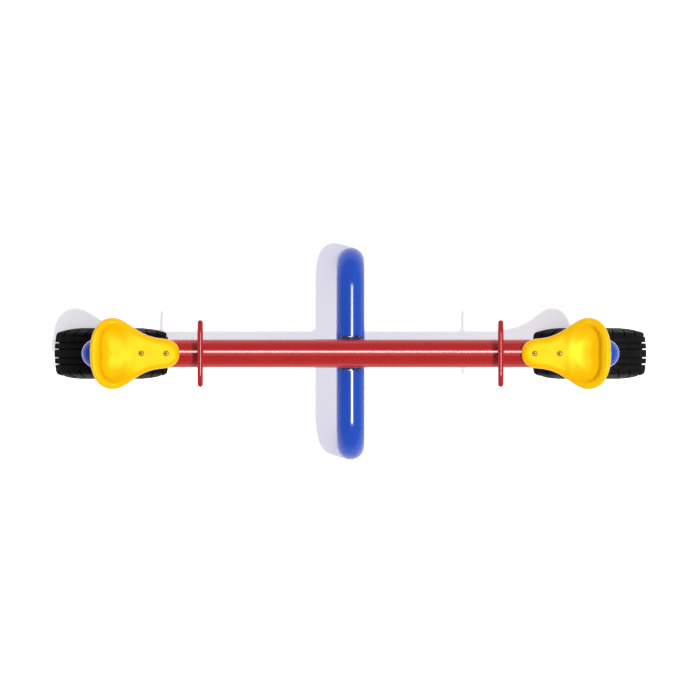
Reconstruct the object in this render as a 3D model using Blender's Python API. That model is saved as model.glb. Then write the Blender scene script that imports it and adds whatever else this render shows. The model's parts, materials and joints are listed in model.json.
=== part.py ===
"""A two-seat playground seesaw: a round beam rocks on a low arch of bent pipe, over half-buried tyres.

Metres, +Z up. The origin is on the ground under the middle of the beam. The beam lies along X, the
support arch stands along Y, and the beam tilts about the Y axis through the pivot shaft.
"""

import math

import bmesh
import bpy
from mathutils import Matrix, Vector

# Fits
WELD_GAP = 0.0003          # between two pieces that are welded or seated face to face
RUNNING_GAP = 0.0003       # around a shaft or a turning ring
BOLT_CLEARANCE = 0.0006    # on the radius of every bolt hole

# Support arch
PIPE_RADIUS = 0.05715
PIPE_WALL = 0.0036
ARCH_HEIGHT = 0.380        # of the bar's axis
ARCH_WIDTH = 0.856         # over the outside of both legs
BEND_RADIUS = 0.1016
CLOSING_DISC_THICKNESS = 0.006
LEG_Y = ARCH_WIDTH / 2 - PIPE_RADIUS

# Pivot: the shaft, and what is bored or turned to fit round it
SHAFT_RADIUS = 0.010
SHAFT_CHAMFER = 0.001
SHAFT_BORE = SHAFT_RADIUS + RUNNING_GAP
HUB_WALL = 0.00655
HUB_RADIUS = SHAFT_BORE + HUB_WALL
HUB_HALF_LENGTH = 0.045
SPACER_WALL = 0.0047
SPACER_RADIUS = SHAFT_BORE + SPACER_WALL
SPACER_LENGTH = 0.0054
RACE_WALL = 0.0042
RACE_RADIUS = SHAFT_BORE + RACE_WALL
RACE_LENGTH = 0.0085
SHAFT_PROUD = 0.0012       # of the shaft's end beyond the turning ring
HUB_OVER_BAR = 0.0197      # clear height between the arch's bar and the hub
PIVOT_HEIGHT = ARCH_HEIGHT + PIPE_RADIUS + HUB_OVER_BAR + HUB_RADIUS

# Beam, carried on the hub
BEAM_RADIUS = 0.05715
BEAM_WALL = 0.0036
BEAM_HALF_LENGTH = 1.024
BEAM_HEIGHT = PIVOT_HEIGHT + HUB_RADIUS + WELD_GAP + BEAM_RADIUS
BEAM_CREST = BEAM_HEIGHT + BEAM_RADIUS
CAP_WALL = 0.004
CAP_PLUG_DEPTH = 0.025

# Fasteners: M10 throughout
BOLT_RADIUS = 0.005
BOLT_HOLE = BOLT_RADIUS + BOLT_CLEARANCE
HEX_WALL = 0.0035          # of a nut, across its flats
HEX_HALF_FLATS = BOLT_RADIUS + HEX_WALL
HEX_CHAMFER = 0.001
HEX_FACE_SHARE = 0.96      # of the flats, left at the chamfered face
HEAD_HEIGHT = 0.0064
NUT_HEIGHT = 0.0084
WASHER_WIDTH = 0.006
WASHER_RADIUS = BOLT_RADIUS + WASHER_WIDTH
WASHER_THICKNESS = 0.002
THREAD_END = 0.003         # bolt end beyond its nut
BUTTON_RIM = 0.00375       # of the button head beyond its shank
BUTTON_RADIUS = BOLT_RADIUS + BUTTON_RIM
BUTTON_HEIGHT = 0.0055
BUTTON_STEPS = 4
SOCKET_RADIUS = 0.0033
SOCKET_MARGIN = 0.0008
SOCKET_MOUTH = SOCKET_RADIUS + SOCKET_MARGIN
SOCKET_DEPTH = 0.003

# Two-bolt flange bearing
FLANGE_THICKNESS = 0.004
DOME_WALL = 0.0087
DOME_RADIUS = RACE_RADIUS + RUNNING_GAP + DOME_WALL
DOME_HEIGHT = 0.0025       # beyond the flange
FLANGE_RIM = 0.0065        # beyond the dome
FLANGE_HALF_HEIGHT = DOME_RADIUS + FLANGE_RIM
FLANGE_EAR = 0.0045        # round each bolt
FLANGE_END_RADIUS = BOLT_RADIUS + FLANGE_EAR
DOME_TO_BOLT = 0.0125
BOLT_SPACING = 2 * (DOME_RADIUS + DOME_TO_BOLT)

# Lugs on the arch and gussets under the beam
LUG_INNER_FACE = HUB_HALF_LENGTH + SPACER_LENGTH + 2 * WELD_GAP
LUG_THICKNESS = 0.008
LUG_OUTER_FACE = LUG_INNER_FACE + LUG_THICKNESS
LUG_MARGIN = 0.010         # beyond each bolt
LUG_HALF_WIDTH = BOLT_SPACING / 2 + LUG_MARGIN
LUG_TOP = 0.028            # above the shaft's axis
LUG_CORNER_RADIUS = 0.025
LUG_BORE_GAP = 0.004       # round the shaft
LUG_BORE_RADIUS = SHAFT_RADIUS + LUG_BORE_GAP
FLANGE_FACE = LUG_OUTER_FACE + WELD_GAP
SHAFT_HALF_LENGTH = FLANGE_FACE + RACE_LENGTH + SHAFT_PROUD
GUSSET_THICKNESS = 0.006
GUSSET_SETBACK = 0.019     # of its middle plane from the hub's end
GUSSET_OFFSET = HUB_HALF_LENGTH - GUSSET_SETBACK
GUSSET_HALF_LENGTH = 0.060
GUSSET_DROP = 0.010        # of its foot below the shaft's axis
GUSSET_FOOT_HALF = 0.021

# Seats. Along runs from the seat's rear edge towards its nose.
SEAT_OVERHANG = 0.0246     # beyond the beam's end
SEAT_REAR_X = BEAM_HALF_LENGTH + SEAT_OVERHANG
SEAT_LENGTH = 0.361
SEAT_HALF_WIDTH = 0.144
SEAT_WIDEST = 0.0945       # distance of the widest place from the rear edge
SEAT_CORNER_POWER = 2.3    # of the rear outline, where 2 is an ellipse
NOSE_HALF_WIDTH = 0.058
HIP_SPREAD = 0.105
NOSE_ROUNDING = 0.070
SEAT_SHELL = 0.005
SEAT_RISE = 0.03985        # of the flat that the bolts hold down, above the beam's crest
SEAT_PAD_HEIGHT = BEAM_CREST + SEAT_RISE
SEAT_BOLT_SPACING = 0.100
NOSE_TO_BOLT = 0.054
SEAT_FRONT_BOLT = SEAT_LENGTH - NOSE_TO_BOLT
SEAT_BOLTS = (SEAT_FRONT_BOLT - SEAT_BOLT_SPACING, SEAT_FRONT_BOLT)
SEAT_HOLE_REACH = 0.02     # of the hole's cutter each way from the pad
REAR_RIM = 0.058
SIDE_RIM = 0.034
RIM_TO_BOLT = 0.014
RIM_END = SEAT_BOLTS[0] - RIM_TO_BOLT
DISH_DEPTH = 0.006
DISH_TO_RIM_END = 0.018
DISH_END = RIM_END - DISH_TO_RIM_END
DISH_START = 0.110         # where its floor starts to climb to the pad
SPOON_END = 0.140          # where its floor stops falling from the rear bank
SPOON_RISE = 0.020
REAR_LIP = 0.021           # width of the rounded lip along the outline
HIP_LIP = 0.029
REAR_LIP_DROP = 0.026      # fall of the lip from its crest to the outline
HIP_LIP_DROP = 0.023
REAR_CREST = 0.021         # width of the nearly level crest inside the lip
SIDE_CREST = 0.002
CREST_FALL_SHARE = 0.035   # of the rim's height, that the crest loses across its width
STEP_WIDTH = 0.022         # of the steep step inside the crest
STEP_SHARE = 0.55          # of the bank's height that the step takes at the rear
STEP_FADE_START = 0.050    # distance from the rear edge, along which the step fades out
STEP_FADE = 0.070
REAR_BANK = 0.056          # width of the bank, with the gentle foot below its step
SIDE_BANK = 0.080
SPINE_SHARE = 0.80         # of the length beyond the widest place, where a ray ends
OUTLINE_EVEN_SHARE = 0.35  # of the outline's spacing that is even, not crowded at the nose
RAY_LIP_SHARE = 0.5        # most of a ray's room that its lip's points take

# Seat bracket: an inverted channel on the beam's crest
BRACKET_TOP = SEAT_PAD_HEIGHT - SEAT_SHELL - WELD_GAP
BRACKET_HALF_WIDTH = 0.025
BRACKET_WALL = 0.005
BRACKET_REAR_OVERHANG = 0.026   # beyond the rear bolt
BRACKET_FRONT_OVERHANG = 0.012  # beyond the front bolt, short of the nose's round end

# Handles
HANDLE_TO_NOSE = 0.0831
HANDLE_X = SEAT_REAR_X - SEAT_LENGTH - HANDLE_TO_NOSE
HANDLE_RADIUS = 0.0113
HANDLE_WALL = 0.0020
HANDLE_SPAN = 0.2687       # over both rounded ends
HANDLE_RISE = 0.0829       # of its straight middle's axis, above the beam's crest
HANDLE_HEIGHT = BEAM_CREST + HANDLE_RISE
HANDLE_BEND_RADIUS = 0.070
HANDLE_BEND = math.radians(26)
HANDLE_TAIL = 0.012        # straight pipe beyond each bend
HANDLE_PLUG_DEPTH = 0.008
STEM_RADIUS = HANDLE_RADIUS
STEM_CUT_REACH = 0.05      # of a cope's cutter each way from the stem

# Tyres, set in the ground
TYRE_SETBACK = 0.064       # of its middle from the beam's end
TYRE_X = BEAM_HALF_LENGTH - TYRE_SETBACK
TYRE_RADIUS = 0.324
TYRE_HEIGHT = 0.096        # of its crown above the ground
TYRE_DEPTH = TYRE_RADIUS - TYRE_HEIGHT
TREAD_THICKNESS = 0.017
SIDEWALL_THICKNESS = 0.009
TREAD_HALF_WIDTH = 0.081
TYRE_HALF_WIDTH = 0.1025
TYRE_BULGE = TYRE_HALF_WIDTH - TREAD_HALF_WIDTH
CROWN_DROP = 0.0052        # of the tread's edge below its middle
GROOVE_WIDTH = 0.007
GROOVE_FLANK = 0.001
GROOVE_DEPTH = 0.010
GROOVES = (0.016, 0.0415)  # middles, from the tyre's middle plane
CROWN_POINTS = (0.060, 0.072, TREAD_HALF_WIDTH)
# Down the sidewall: (drop below the tread's edge, share of the bulge)
SIDEWALL = ((0.006, 0.22), (0.018, 0.45), (0.036, 0.80), (0.054, 1.0), (0.075, 1.0),
            (0.098, 0.93), (0.115, 0.75))
# Up the inside: (drop below the tread's edge, share of the bulge)
INNER_WALL = ((0.115, 0.75), (0.070, 1.0), (0.036, 0.8))
INNER_CROWN_DROP = 0.006
INNER_CROWN_SHARE = 0.6
TYRE_SWEEP = math.radians(55)

ROUND_STEPS = 32
SMALL_STEPS = 12             # a multiple of 6, so that hexagons keep their corners
ROD_STEPS = 16
BEND_STEPS = 6
DOME_STEPS = 5
HANDLE_BEND_STEPS = 3
TYRE_STEPS = 22
SMOOTH_ANGLE = math.radians(30)
THROUGH = 0.2                # half length of a cutter that passes right through
MERGE_DISTANCE = 1e-5

ALONG_X = Matrix.Rotation(math.pi / 2, 4, "Y")
ALONG_Y = Matrix.Rotation(-math.pi / 2, 4, "X")


def clear_scene():
    for obj in list(bpy.data.objects):
        bpy.data.objects.remove(obj, do_unlink=True)


def make_material(name, colour, roughness, metallic=0.0):
    material = bpy.data.materials.new(name)
    material.use_nodes = True
    shader = material.node_tree.nodes["Principled BSDF"]
    shader.inputs["Base Color"].default_value = (*colour, 1.0)
    shader.inputs["Roughness"].default_value = roughness
    shader.inputs["Metallic"].default_value = metallic
    material.diffuse_color = (*colour, 1.0)
    return material


def finish_object(name, mesh_data, material, parent=None, place=None):
    """Makes a named object whose mesh is moved by place, with its origin on its parent's."""
    mesh = bpy.data.meshes.new(name)
    mesh_data.to_mesh(mesh)
    mesh_data.free()
    if place is not None:
        mesh.transform(place)
    if parent is not None:
        mesh.transform(Matrix.Translation(-parent.location))
    mesh.shade_smooth()
    mesh.set_sharp_from_angle(angle=SMOOTH_ANGLE)
    obj = bpy.data.objects.new(name, mesh)
    bpy.context.scene.collection.objects.link(obj)
    obj.parent = parent
    if material is not None:
        mesh.materials.append(material)
    return obj


def ring_points(radius, height, steps, hexagonal=False):
    points = []
    for step in range(steps):
        angle = 2 * math.pi * step / steps
        reach = radius
        if hexagonal:
            reach = radius / math.cos((angle % (math.pi / 3)) - math.pi / 6)
        points.append(Vector((reach * math.cos(angle), reach * math.sin(angle), height)))
    return points


def bridge(data, first, second):
    count = len(first)
    for i in range(count):
        j = (i + 1) % count
        data.faces.new((first[i], first[j], second[j], second[i]))


def loft(rings, closed=False):
    """A solid through rings of points. A closed one joins its last ring to its first."""
    data = bmesh.new()
    loops = [[data.verts.new(point) for point in ring] for ring in rings]
    for first, second in zip(loops, loops[1:]):
        bridge(data, first, second)
    if closed:
        bridge(data, loops[-1], loops[0])
    else:
        data.faces.new(loops[0])
        data.faces.new(loops[-1])
    bmesh.ops.recalc_face_normals(data, faces=data.faces)
    return data


def turned(profile, steps=SMALL_STEPS, closed=False, hexagonal=()):
    """A solid turned about Z from (radius, height) pairs; the listed pairs are hexagonal."""
    rings = [ring_points(radius, height, steps, index in hexagonal)
             for index, (radius, height) in enumerate(profile)]
    return loft(rings, closed)


def plate(outline, thickness):
    """A plate with its outline in XZ, from Y = 0 to Y = thickness."""
    rings = [[Vector((x, y, z)) for x, z in outline] for y in (0.0, thickness)]
    return loft(rings)


def cutter(data, place, parent=None):
    obj = finish_object("cutter", data, None, parent, place)
    obj.hide_render = True
    obj.display_type = "WIRE"
    return obj


def use_boolean(obj, tool, operation="DIFFERENCE"):
    modifier = obj.modifiers.new(operation.lower(), "BOOLEAN")
    modifier.operation = operation
    modifier.object = tool
    modifier.solver = "EXACT"


def cut_round(obj, radius, place, half_length=THROUGH, parent=None, steps=SMALL_STEPS):
    """Cuts a round hole. The facets of its wall lie at the radius, and their corners outside it."""
    reach = radius / math.cos(math.pi / steps)
    rod = turned([(reach, -half_length), (reach, half_length)], steps)
    use_boolean(obj, cutter(rod, place, parent))


def at(x, y, z):
    return Matrix.Translation((x, y, z))


def arc(centre, radius, start, end, steps):
    return [(centre[0] + radius * math.cos(start + (end - start) * i / steps),
             centre[1] + radius * math.sin(start + (end - start) * i / steps))
            for i in range(steps + 1)]


def swept_tube(path, radius, wall, across, steps):
    """A tube along a path that lies in the YZ plane, square-cut and open at both ends."""
    outer, inner = [], []
    for index, point in enumerate(path):
        before = path[max(index - 1, 0)]
        after = path[min(index + 1, len(path) - 1)]
        along = (after - before).normalized()
        side = along.cross(across).normalized()
        for loops, reach in ((outer, radius), (inner, radius - wall)):
            ring = []
            for step in range(steps):
                angle = 2 * math.pi * step / steps
                ring.append(point + reach * (math.cos(angle) * across + math.sin(angle) * side))
            loops.append(ring)
    return loft(outer + inner[::-1], closed=True)


def make_arch(material):
    """The support arch: one pipe, bent twice, with both legs down to the ground."""
    path = [Vector((0, -LEG_Y, 0))]
    centre_y = LEG_Y - BEND_RADIUS
    centre_z = ARCH_HEIGHT - BEND_RADIUS
    for y, z in arc((-centre_y, centre_z), BEND_RADIUS, math.pi, math.pi / 2, BEND_STEPS):
        path.append(Vector((0, y, z)))
    for y, z in arc((centre_y, centre_z), BEND_RADIUS, math.pi / 2, 0, BEND_STEPS):
        path.append(Vector((0, y, z)))
    path.append(Vector((0, LEG_Y, 0)))
    across = Vector((1, 0, 0))
    tube = swept_tube(path, PIPE_RADIUS, PIPE_WALL, across, ROUND_STEPS)
    return finish_object("support_arch", tube, material)


def make_closing_disc(name, y, material):
    radius = PIPE_RADIUS - PIPE_WALL - WELD_GAP
    disc = turned([(radius, 0), (radius, CLOSING_DISC_THICKNESS)], ROUND_STEPS)
    finish_object(name, disc, material, place=at(0, y, 0))


def make_lug(name, side, material):
    """An upright plate, coped over the arch's bar, with holes for the shaft and two bolts."""
    corner_x = LUG_HALF_WIDTH - LUG_CORNER_RADIUS
    corner_z = PIVOT_HEIGHT + LUG_TOP - LUG_CORNER_RADIUS
    outline = [(-LUG_HALF_WIDTH, ARCH_HEIGHT), (LUG_HALF_WIDTH, ARCH_HEIGHT)]
    outline += arc((corner_x, corner_z), LUG_CORNER_RADIUS, 0, math.pi / 2, 8)
    outline += arc((-corner_x, corner_z), LUG_CORNER_RADIUS, math.pi / 2, math.pi, 8)
    low = LUG_INNER_FACE if side > 0 else -LUG_OUTER_FACE
    lug = finish_object(name, plate(outline, LUG_THICKNESS), material, place=at(0, low, 0))
    cut_round(lug, PIPE_RADIUS + WELD_GAP, at(0, 0, ARCH_HEIGHT) @ ALONG_Y, steps=ROUND_STEPS)
    cut_round(lug, LUG_BORE_RADIUS, at(0, 0, PIVOT_HEIGHT) @ ALONG_Y)
    for x in (-BOLT_SPACING / 2, BOLT_SPACING / 2):
        cut_round(lug, BOLT_HOLE, at(x, 0, PIVOT_HEIGHT) @ ALONG_Y)


def facing(side, x, distance, z):
    """A placement whose +Z points away from the middle along Y, from that distance."""
    turn = Matrix.Rotation(-side * math.pi / 2, 4, "X")
    return at(x, side * distance, z) @ turn


def flange_outline():
    """Half of the flange's outline is an end arc, a straight flank and the middle arc."""
    half = BOLT_SPACING / 2
    tilt = math.acos((FLANGE_HALF_HEIGHT - FLANGE_END_RADIUS) / half)
    points = arc((half, 0), FLANGE_END_RADIUS, -tilt, tilt, 6)
    points += arc((0, 0), FLANGE_HALF_HEIGHT, tilt, math.pi - tilt, 8)
    points += arc((-half, 0), FLANGE_END_RADIUS, math.pi - tilt, math.pi + tilt, 6)
    points += arc((0, 0), FLANGE_HALF_HEIGHT, math.pi + tilt, 2 * math.pi - tilt, 8)
    return points


def make_bearing(name, side, material):
    """The fixed housing: a two-bolt flange with a low dome round the turning ring."""
    rings = [[Vector((x, z, height)) for x, z in flange_outline()]
             for height in (0.0, FLANGE_THICKNESS)]
    place = facing(side, 0, FLANGE_FACE, PIVOT_HEIGHT)
    housing = finish_object(name, loft(rings), material, place=place)
    foot = FLANGE_THICKNESS / 2
    top = FLANGE_THICKNESS + DOME_HEIGHT
    dome = turned([(DOME_RADIUS, foot), (DOME_RADIUS, FLANGE_THICKNESS),
                   (DOME_RADIUS - DOME_HEIGHT, top)], ROUND_STEPS)
    use_boolean(housing, cutter(dome, place), "UNION")
    cut_round(housing, RACE_RADIUS + RUNNING_GAP, place, steps=ROUND_STEPS)
    for x in (-BOLT_SPACING / 2, BOLT_SPACING / 2):
        hole = facing(side, x, FLANGE_FACE, PIVOT_HEIGHT)
        cut_round(housing, BOLT_HOLE, hole)


def ring_solid(inner, outer, length, steps=SMALL_STEPS):
    return turned([(inner, 0), (outer, 0), (outer, length), (inner, length)], steps, closed=True)


def make_bearing_fasteners(word, side, finishes):
    """Two hex bolts through flange and lug, each with a washer and a nut behind the lug."""
    for end, x in (("left", -BOLT_SPACING / 2), ("right", BOLT_SPACING / 2)):
        head = FLANGE_FACE + FLANGE_THICKNESS + WELD_GAP
        washer_face = LUG_INNER_FACE - WELD_GAP
        nut_face = washer_face - WASHER_THICKNESS - WELD_GAP
        tip = nut_face - NUT_HEIGHT - THREAD_END
        bolt = turned([(BOLT_RADIUS, tip - head), (BOLT_RADIUS, 0), (HEX_HALF_FLATS, 0),
                       (HEX_HALF_FLATS, HEAD_HEIGHT - HEX_CHAMFER),
                       (HEX_HALF_FLATS * HEX_FACE_SHARE, HEAD_HEIGHT)], hexagonal=(2, 3))
        place = facing(side, x, head, PIVOT_HEIGHT)
        finish_object(f"bearing_bolt_{word}_{end}", bolt, finishes["zinc"], place=place)
        inside = facing(side, x, nut_face - NUT_HEIGHT, PIVOT_HEIGHT)
        finish_object(f"bearing_nut_{word}_{end}", make_nut(), finishes["zinc"], place=inside)
        under = facing(side, x, washer_face - WASHER_THICKNESS, PIVOT_HEIGHT)
        washer = ring_solid(BOLT_HOLE, WASHER_RADIUS, WASHER_THICKNESS)
        finish_object(f"bearing_washer_{word}_{end}", washer, finishes["zinc"], place=under)


def make_nut():
    bore = BOLT_RADIUS + RUNNING_GAP
    face = HEX_HALF_FLATS * HEX_FACE_SHARE
    profile = [(bore, 0), (face, 0), (HEX_HALF_FLATS, HEX_CHAMFER),
               (HEX_HALF_FLATS, NUT_HEIGHT - HEX_CHAMFER), (face, NUT_HEIGHT), (bore, NUT_HEIGHT)]
    return turned(profile, closed=True, hexagonal=(2, 3))


def make_pivot(pivot, finishes):
    """What turns with the beam at the pivot: shaft, hub tube, gussets, spacers and inner rings."""
    centre = at(0, 0, PIVOT_HEIGHT) @ ALONG_Y
    edge = SHAFT_HALF_LENGTH - SHAFT_CHAMFER
    shaft = turned([(SHAFT_RADIUS - SHAFT_CHAMFER, -SHAFT_HALF_LENGTH), (SHAFT_RADIUS, -edge),
                    (SHAFT_RADIUS, edge), (SHAFT_RADIUS - SHAFT_CHAMFER, SHAFT_HALF_LENGTH)])
    finish_object("pivot_shaft", shaft, finishes["steel"], pivot, centre)
    hub = ring_solid(SHAFT_BORE, HUB_RADIUS, 2 * HUB_HALF_LENGTH)
    finish_object("hub_tube", hub, finishes["red"], pivot, centre @ at(0, 0, -HUB_HALF_LENGTH))
    for word, side in (("front", -1), ("rear", 1)):
        place = facing(side, 0, HUB_HALF_LENGTH + WELD_GAP, PIVOT_HEIGHT)
        spacer = ring_solid(SHAFT_BORE, SPACER_RADIUS, SPACER_LENGTH)
        finish_object(f"thrust_spacer_{word}", spacer, finishes["nylon"], pivot, place)
        place = facing(side, 0, FLANGE_FACE, PIVOT_HEIGHT)
        race = ring_solid(SHAFT_BORE, RACE_RADIUS, RACE_LENGTH, ROUND_STEPS)
        finish_object(f"bearing_inner_ring_{word}", race, finishes["steel"], pivot, place)
        make_gusset(f"hub_gusset_{word}", side, pivot, finishes["red"])


def make_gusset(name, side, pivot, material):
    """A plate that carries the hub under the beam, coped round both."""
    foot = PIVOT_HEIGHT - GUSSET_DROP
    head = PIVOT_HEIGHT + HUB_RADIUS
    outline = [(-GUSSET_HALF_LENGTH, BEAM_HEIGHT), (-GUSSET_HALF_LENGTH, head),
               (-GUSSET_FOOT_HALF, foot), (GUSSET_FOOT_HALF, foot),
               (GUSSET_HALF_LENGTH, head), (GUSSET_HALF_LENGTH, BEAM_HEIGHT)]
    low = side * GUSSET_OFFSET - GUSSET_THICKNESS / 2
    gusset = finish_object(name, plate(outline, GUSSET_THICKNESS), material, pivot,
                           at(0, low, 0))
    cut_round(gusset, HUB_RADIUS + WELD_GAP, at(0, 0, PIVOT_HEIGHT) @ ALONG_Y, parent=pivot)
    cut_round(gusset, BEAM_RADIUS + WELD_GAP, at(0, 0, BEAM_HEIGHT) @ ALONG_X, parent=pivot,
              steps=ROUND_STEPS)


def make_beam(pivot, finishes):
    tube = ring_solid(BEAM_RADIUS - BEAM_WALL, BEAM_RADIUS, 2 * BEAM_HALF_LENGTH, ROUND_STEPS)
    place = at(-BEAM_HALF_LENGTH, 0, BEAM_HEIGHT) @ ALONG_X
    finish_object("beam_tube", tube, finishes["red"], pivot, place)
    for word, side in (("left", -1), ("right", 1)):
        place = at(side * (BEAM_HALF_LENGTH + WELD_GAP), 0, BEAM_HEIGHT)
        turn = Matrix.Rotation(side * math.pi / 2, 4, "Y")
        finish_object(f"beam_end_cap_{word}", end_cap_data(), finishes["blue"], pivot, place @ turn)


def end_cap_data():
    """A hollow half ball with a collar that plugs into the beam."""
    plug = BEAM_RADIUS - BEAM_WALL - WELD_GAP
    profile = [(plug - CAP_WALL, -CAP_PLUG_DEPTH), (plug, -CAP_PLUG_DEPTH), (plug, 0)]
    for i in range(DOME_STEPS):
        angle = math.pi / 2 * i / DOME_STEPS
        profile.append((BEAM_RADIUS * math.cos(angle), BEAM_RADIUS * math.sin(angle)))
    inner = plug - CAP_WALL
    outer_rings = [ring_points(r, z, ROUND_STEPS) for r, z in profile]
    inner_rings = [ring_points(inner * math.cos(math.pi / 2 * i / DOME_STEPS),
                               inner * math.sin(math.pi / 2 * i / DOME_STEPS), ROUND_STEPS)
                   for i in range(DOME_STEPS)]
    data = bmesh.new()
    outer = [[data.verts.new(p) for p in ring] for ring in outer_rings]
    inside = [[data.verts.new(p) for p in ring] for ring in inner_rings]
    for loops, pole in ((outer, BEAM_RADIUS), (inside, inner)):
        for first, second in zip(loops, loops[1:]):
            bridge(data, first, second)
        top = data.verts.new((0, 0, pole))
        last = loops[-1]
        for i in range(ROUND_STEPS):
            data.faces.new((last[i], last[(i + 1) % ROUND_STEPS], top))
    bridge(data, outer[0], inside[0])
    bmesh.ops.recalc_face_normals(data, faces=data.faces)
    return data


def handle_path(x):
    """One end of the bar, then the other: straight, bent up, straight across, and the same down."""
    reach = HANDLE_BEND_RADIUS * math.sin(HANDLE_BEND)
    drop = HANDLE_BEND_RADIUS * (1 - math.cos(HANDLE_BEND))
    tail_out = HANDLE_TAIL * math.cos(HANDLE_BEND)
    tail_down = HANDLE_TAIL * math.sin(HANDLE_BEND)
    straight = HANDLE_SPAN / 2 - HANDLE_RADIUS - reach - tail_out
    half = [Vector((x, -straight - reach - tail_out, HANDLE_HEIGHT - drop - tail_down))]
    for i in range(HANDLE_BEND_STEPS + 1):
        angle = HANDLE_BEND * (1 - i / HANDLE_BEND_STEPS)
        y = straight + HANDLE_BEND_RADIUS * math.sin(angle)
        z = HANDLE_HEIGHT - HANDLE_BEND_RADIUS * (1 - math.cos(angle))
        half.append(Vector((x, -y, z)))
    return half + [Vector((x, -point.y, point.z)) for point in reversed(half)]


def make_handle(word, side, pivot, finishes):
    """A cross bar on a short stem, with a domed cap on each end of the bar."""
    x = side * HANDLE_X
    path = handle_path(x)
    across = Vector((1, 0, 0))
    bar = swept_tube(path, HANDLE_RADIUS, HANDLE_WALL, across, ROD_STEPS)
    finish_object(f"handle_bar_{word}", bar, finishes["red"], pivot)
    for end_word, end in (("front", -1), ("rear", 1)):
        tip = Vector((x, end * abs(path[0].y), path[0].z))
        plug = HANDLE_RADIUS - HANDLE_WALL - WELD_GAP
        profile = [(plug, -HANDLE_PLUG_DEPTH), (plug, WELD_GAP)]
        for i in range(DOME_STEPS - 1):
            angle = math.pi / 2 * i / (DOME_STEPS - 1)
            profile.append((HANDLE_RADIUS * math.cos(angle),
                            WELD_GAP + HANDLE_RADIUS * math.sin(angle)))
        turn = Matrix.Rotation(-end * (math.pi / 2 + HANDLE_BEND), 4, "X")
        place = Matrix.Translation(tip) @ turn
        cap = finish_object(f"handle_cap_{word}_{end_word}", turned(profile, ROD_STEPS),
                            finishes["red"], pivot, place)
        cap.data.shade_smooth()
    stem = turned([(STEM_RADIUS, BEAM_HEIGHT), (STEM_RADIUS, HANDLE_HEIGHT)])
    post = finish_object(f"handle_stem_{word}", stem, finishes["red"], pivot, at(x, 0, 0))
    cut_round(post, BEAM_RADIUS + WELD_GAP, at(x, 0, BEAM_HEIGHT) @ ALONG_X, parent=pivot,
              steps=ROUND_STEPS, half_length=STEM_CUT_REACH)
    cut_round(post, HANDLE_RADIUS + WELD_GAP, at(x, 0, HANDLE_HEIGHT) @ ALONG_Y, parent=pivot,
              half_length=STEM_CUT_REACH)


def smooth(t):
    t = min(max(t, 0.0), 1.0)
    return t * t * (3 - 2 * t)


def hip_share(along):
    """0 up to the seat's widest place and 1 from where its rim ends."""
    return smooth((along - SEAT_WIDEST) / (RIM_END - SEAT_WIDEST))


def between(first, second, share):
    return first + (second - first) * share


def seat_half_width(along):
    """The seat's half width at a distance from its rear edge: a full rear, hips and a nose."""
    power = SEAT_CORNER_POWER
    if along <= SEAT_WIDEST:
        share = 1 - along / SEAT_WIDEST
        return SEAT_HALF_WIDTH * (1 - share ** power) ** (1 / power)
    beyond = (along - SEAT_WIDEST) / HIP_SPREAD
    width = NOSE_HALF_WIDTH + (SEAT_HALF_WIDTH - NOSE_HALF_WIDTH) * math.exp(-beyond * beyond)
    rounding = max(0.0, (along - SEAT_LENGTH + NOSE_ROUNDING) / NOSE_ROUNDING)
    return width * max(0.0, 1 - rounding ** power) ** (1 / power)


def seat_rim(along):
    """Height of the rim above the seat's middle: high behind, lower at the hips, none in front."""
    if along < SEAT_WIDEST:
        return between(REAR_RIM, SIDE_RIM, smooth(along / SEAT_WIDEST))
    return SIDE_RIM * (1 - hip_share(along))


def seat_bands(along, room):
    """Widths of the lip, the crest, the step and the whole bank on a ray with this much room."""
    side = smooth(along / SEAT_WIDEST)
    lip = min(between(REAR_LIP, HIP_LIP, hip_share(along)), room * RAY_LIP_SHARE)
    crest = between(REAR_CREST, SIDE_CREST, side)
    bank = min(between(REAR_BANK, SIDE_BANK, side), room - lip - crest)
    return lip, crest, min(STEP_WIDTH, bank), bank


def seat_height(along, inset, room):
    """Height of the seat's upper face, at a distance inwards from the outline."""
    lip, crest, step, bank = seat_bands(along, room)
    lip_drop = between(REAR_LIP_DROP, HIP_LIP_DROP, hip_share(along))
    dished = 1 - smooth((along - DISH_START) / (DISH_END - DISH_START))
    dish = SEAT_PAD_HEIGHT - DISH_DEPTH * dished
    rim = seat_rim(along)
    if inset < lip:
        share = (lip - inset) / lip
        return dish + rim - lip_drop * (1 - math.sqrt(max(0.0, 1 - share * share)))
    beyond = inset - lip
    fall = CREST_FALL_SHARE * rim
    if beyond < crest:
        return dish + rim - fall * (beyond / crest) ** 2
    floor = dish + SPOON_RISE * max(0.0, 1 - along / SPOON_END) ** 2 * rim / REAR_RIM
    foot = (1 - min((beyond - crest) / bank, 1.0)) ** 2
    stepped = STEP_SHARE * (1 - smooth((along - STEP_FADE_START) / STEP_FADE))
    kept = between(foot, 1 - smooth((beyond - crest) / step), stepped)
    return between(floor, dish + rim - fall, kept)


def seat_outline(rays_rear, rays_front):
    """Outline points as (along, across), from the middle of the rear edge to the nose's tip."""
    power = 2 / SEAT_CORNER_POWER
    points = []
    for i in range(rays_rear):
        angle = math.pi / 2 * i / rays_rear
        points.append((SEAT_WIDEST * (1 - math.cos(angle) ** power),
                       SEAT_HALF_WIDTH * math.sin(angle) ** power))
    for i in range(rays_front + 1):
        crowded = math.sin(math.pi / 2 * i / rays_front)
        share = between(crowded, i / rays_front, OUTLINE_EVEN_SHARE)
        along = between(SEAT_WIDEST, SEAT_LENGTH, share)
        points.append((along, seat_half_width(along)))
    return points


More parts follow.
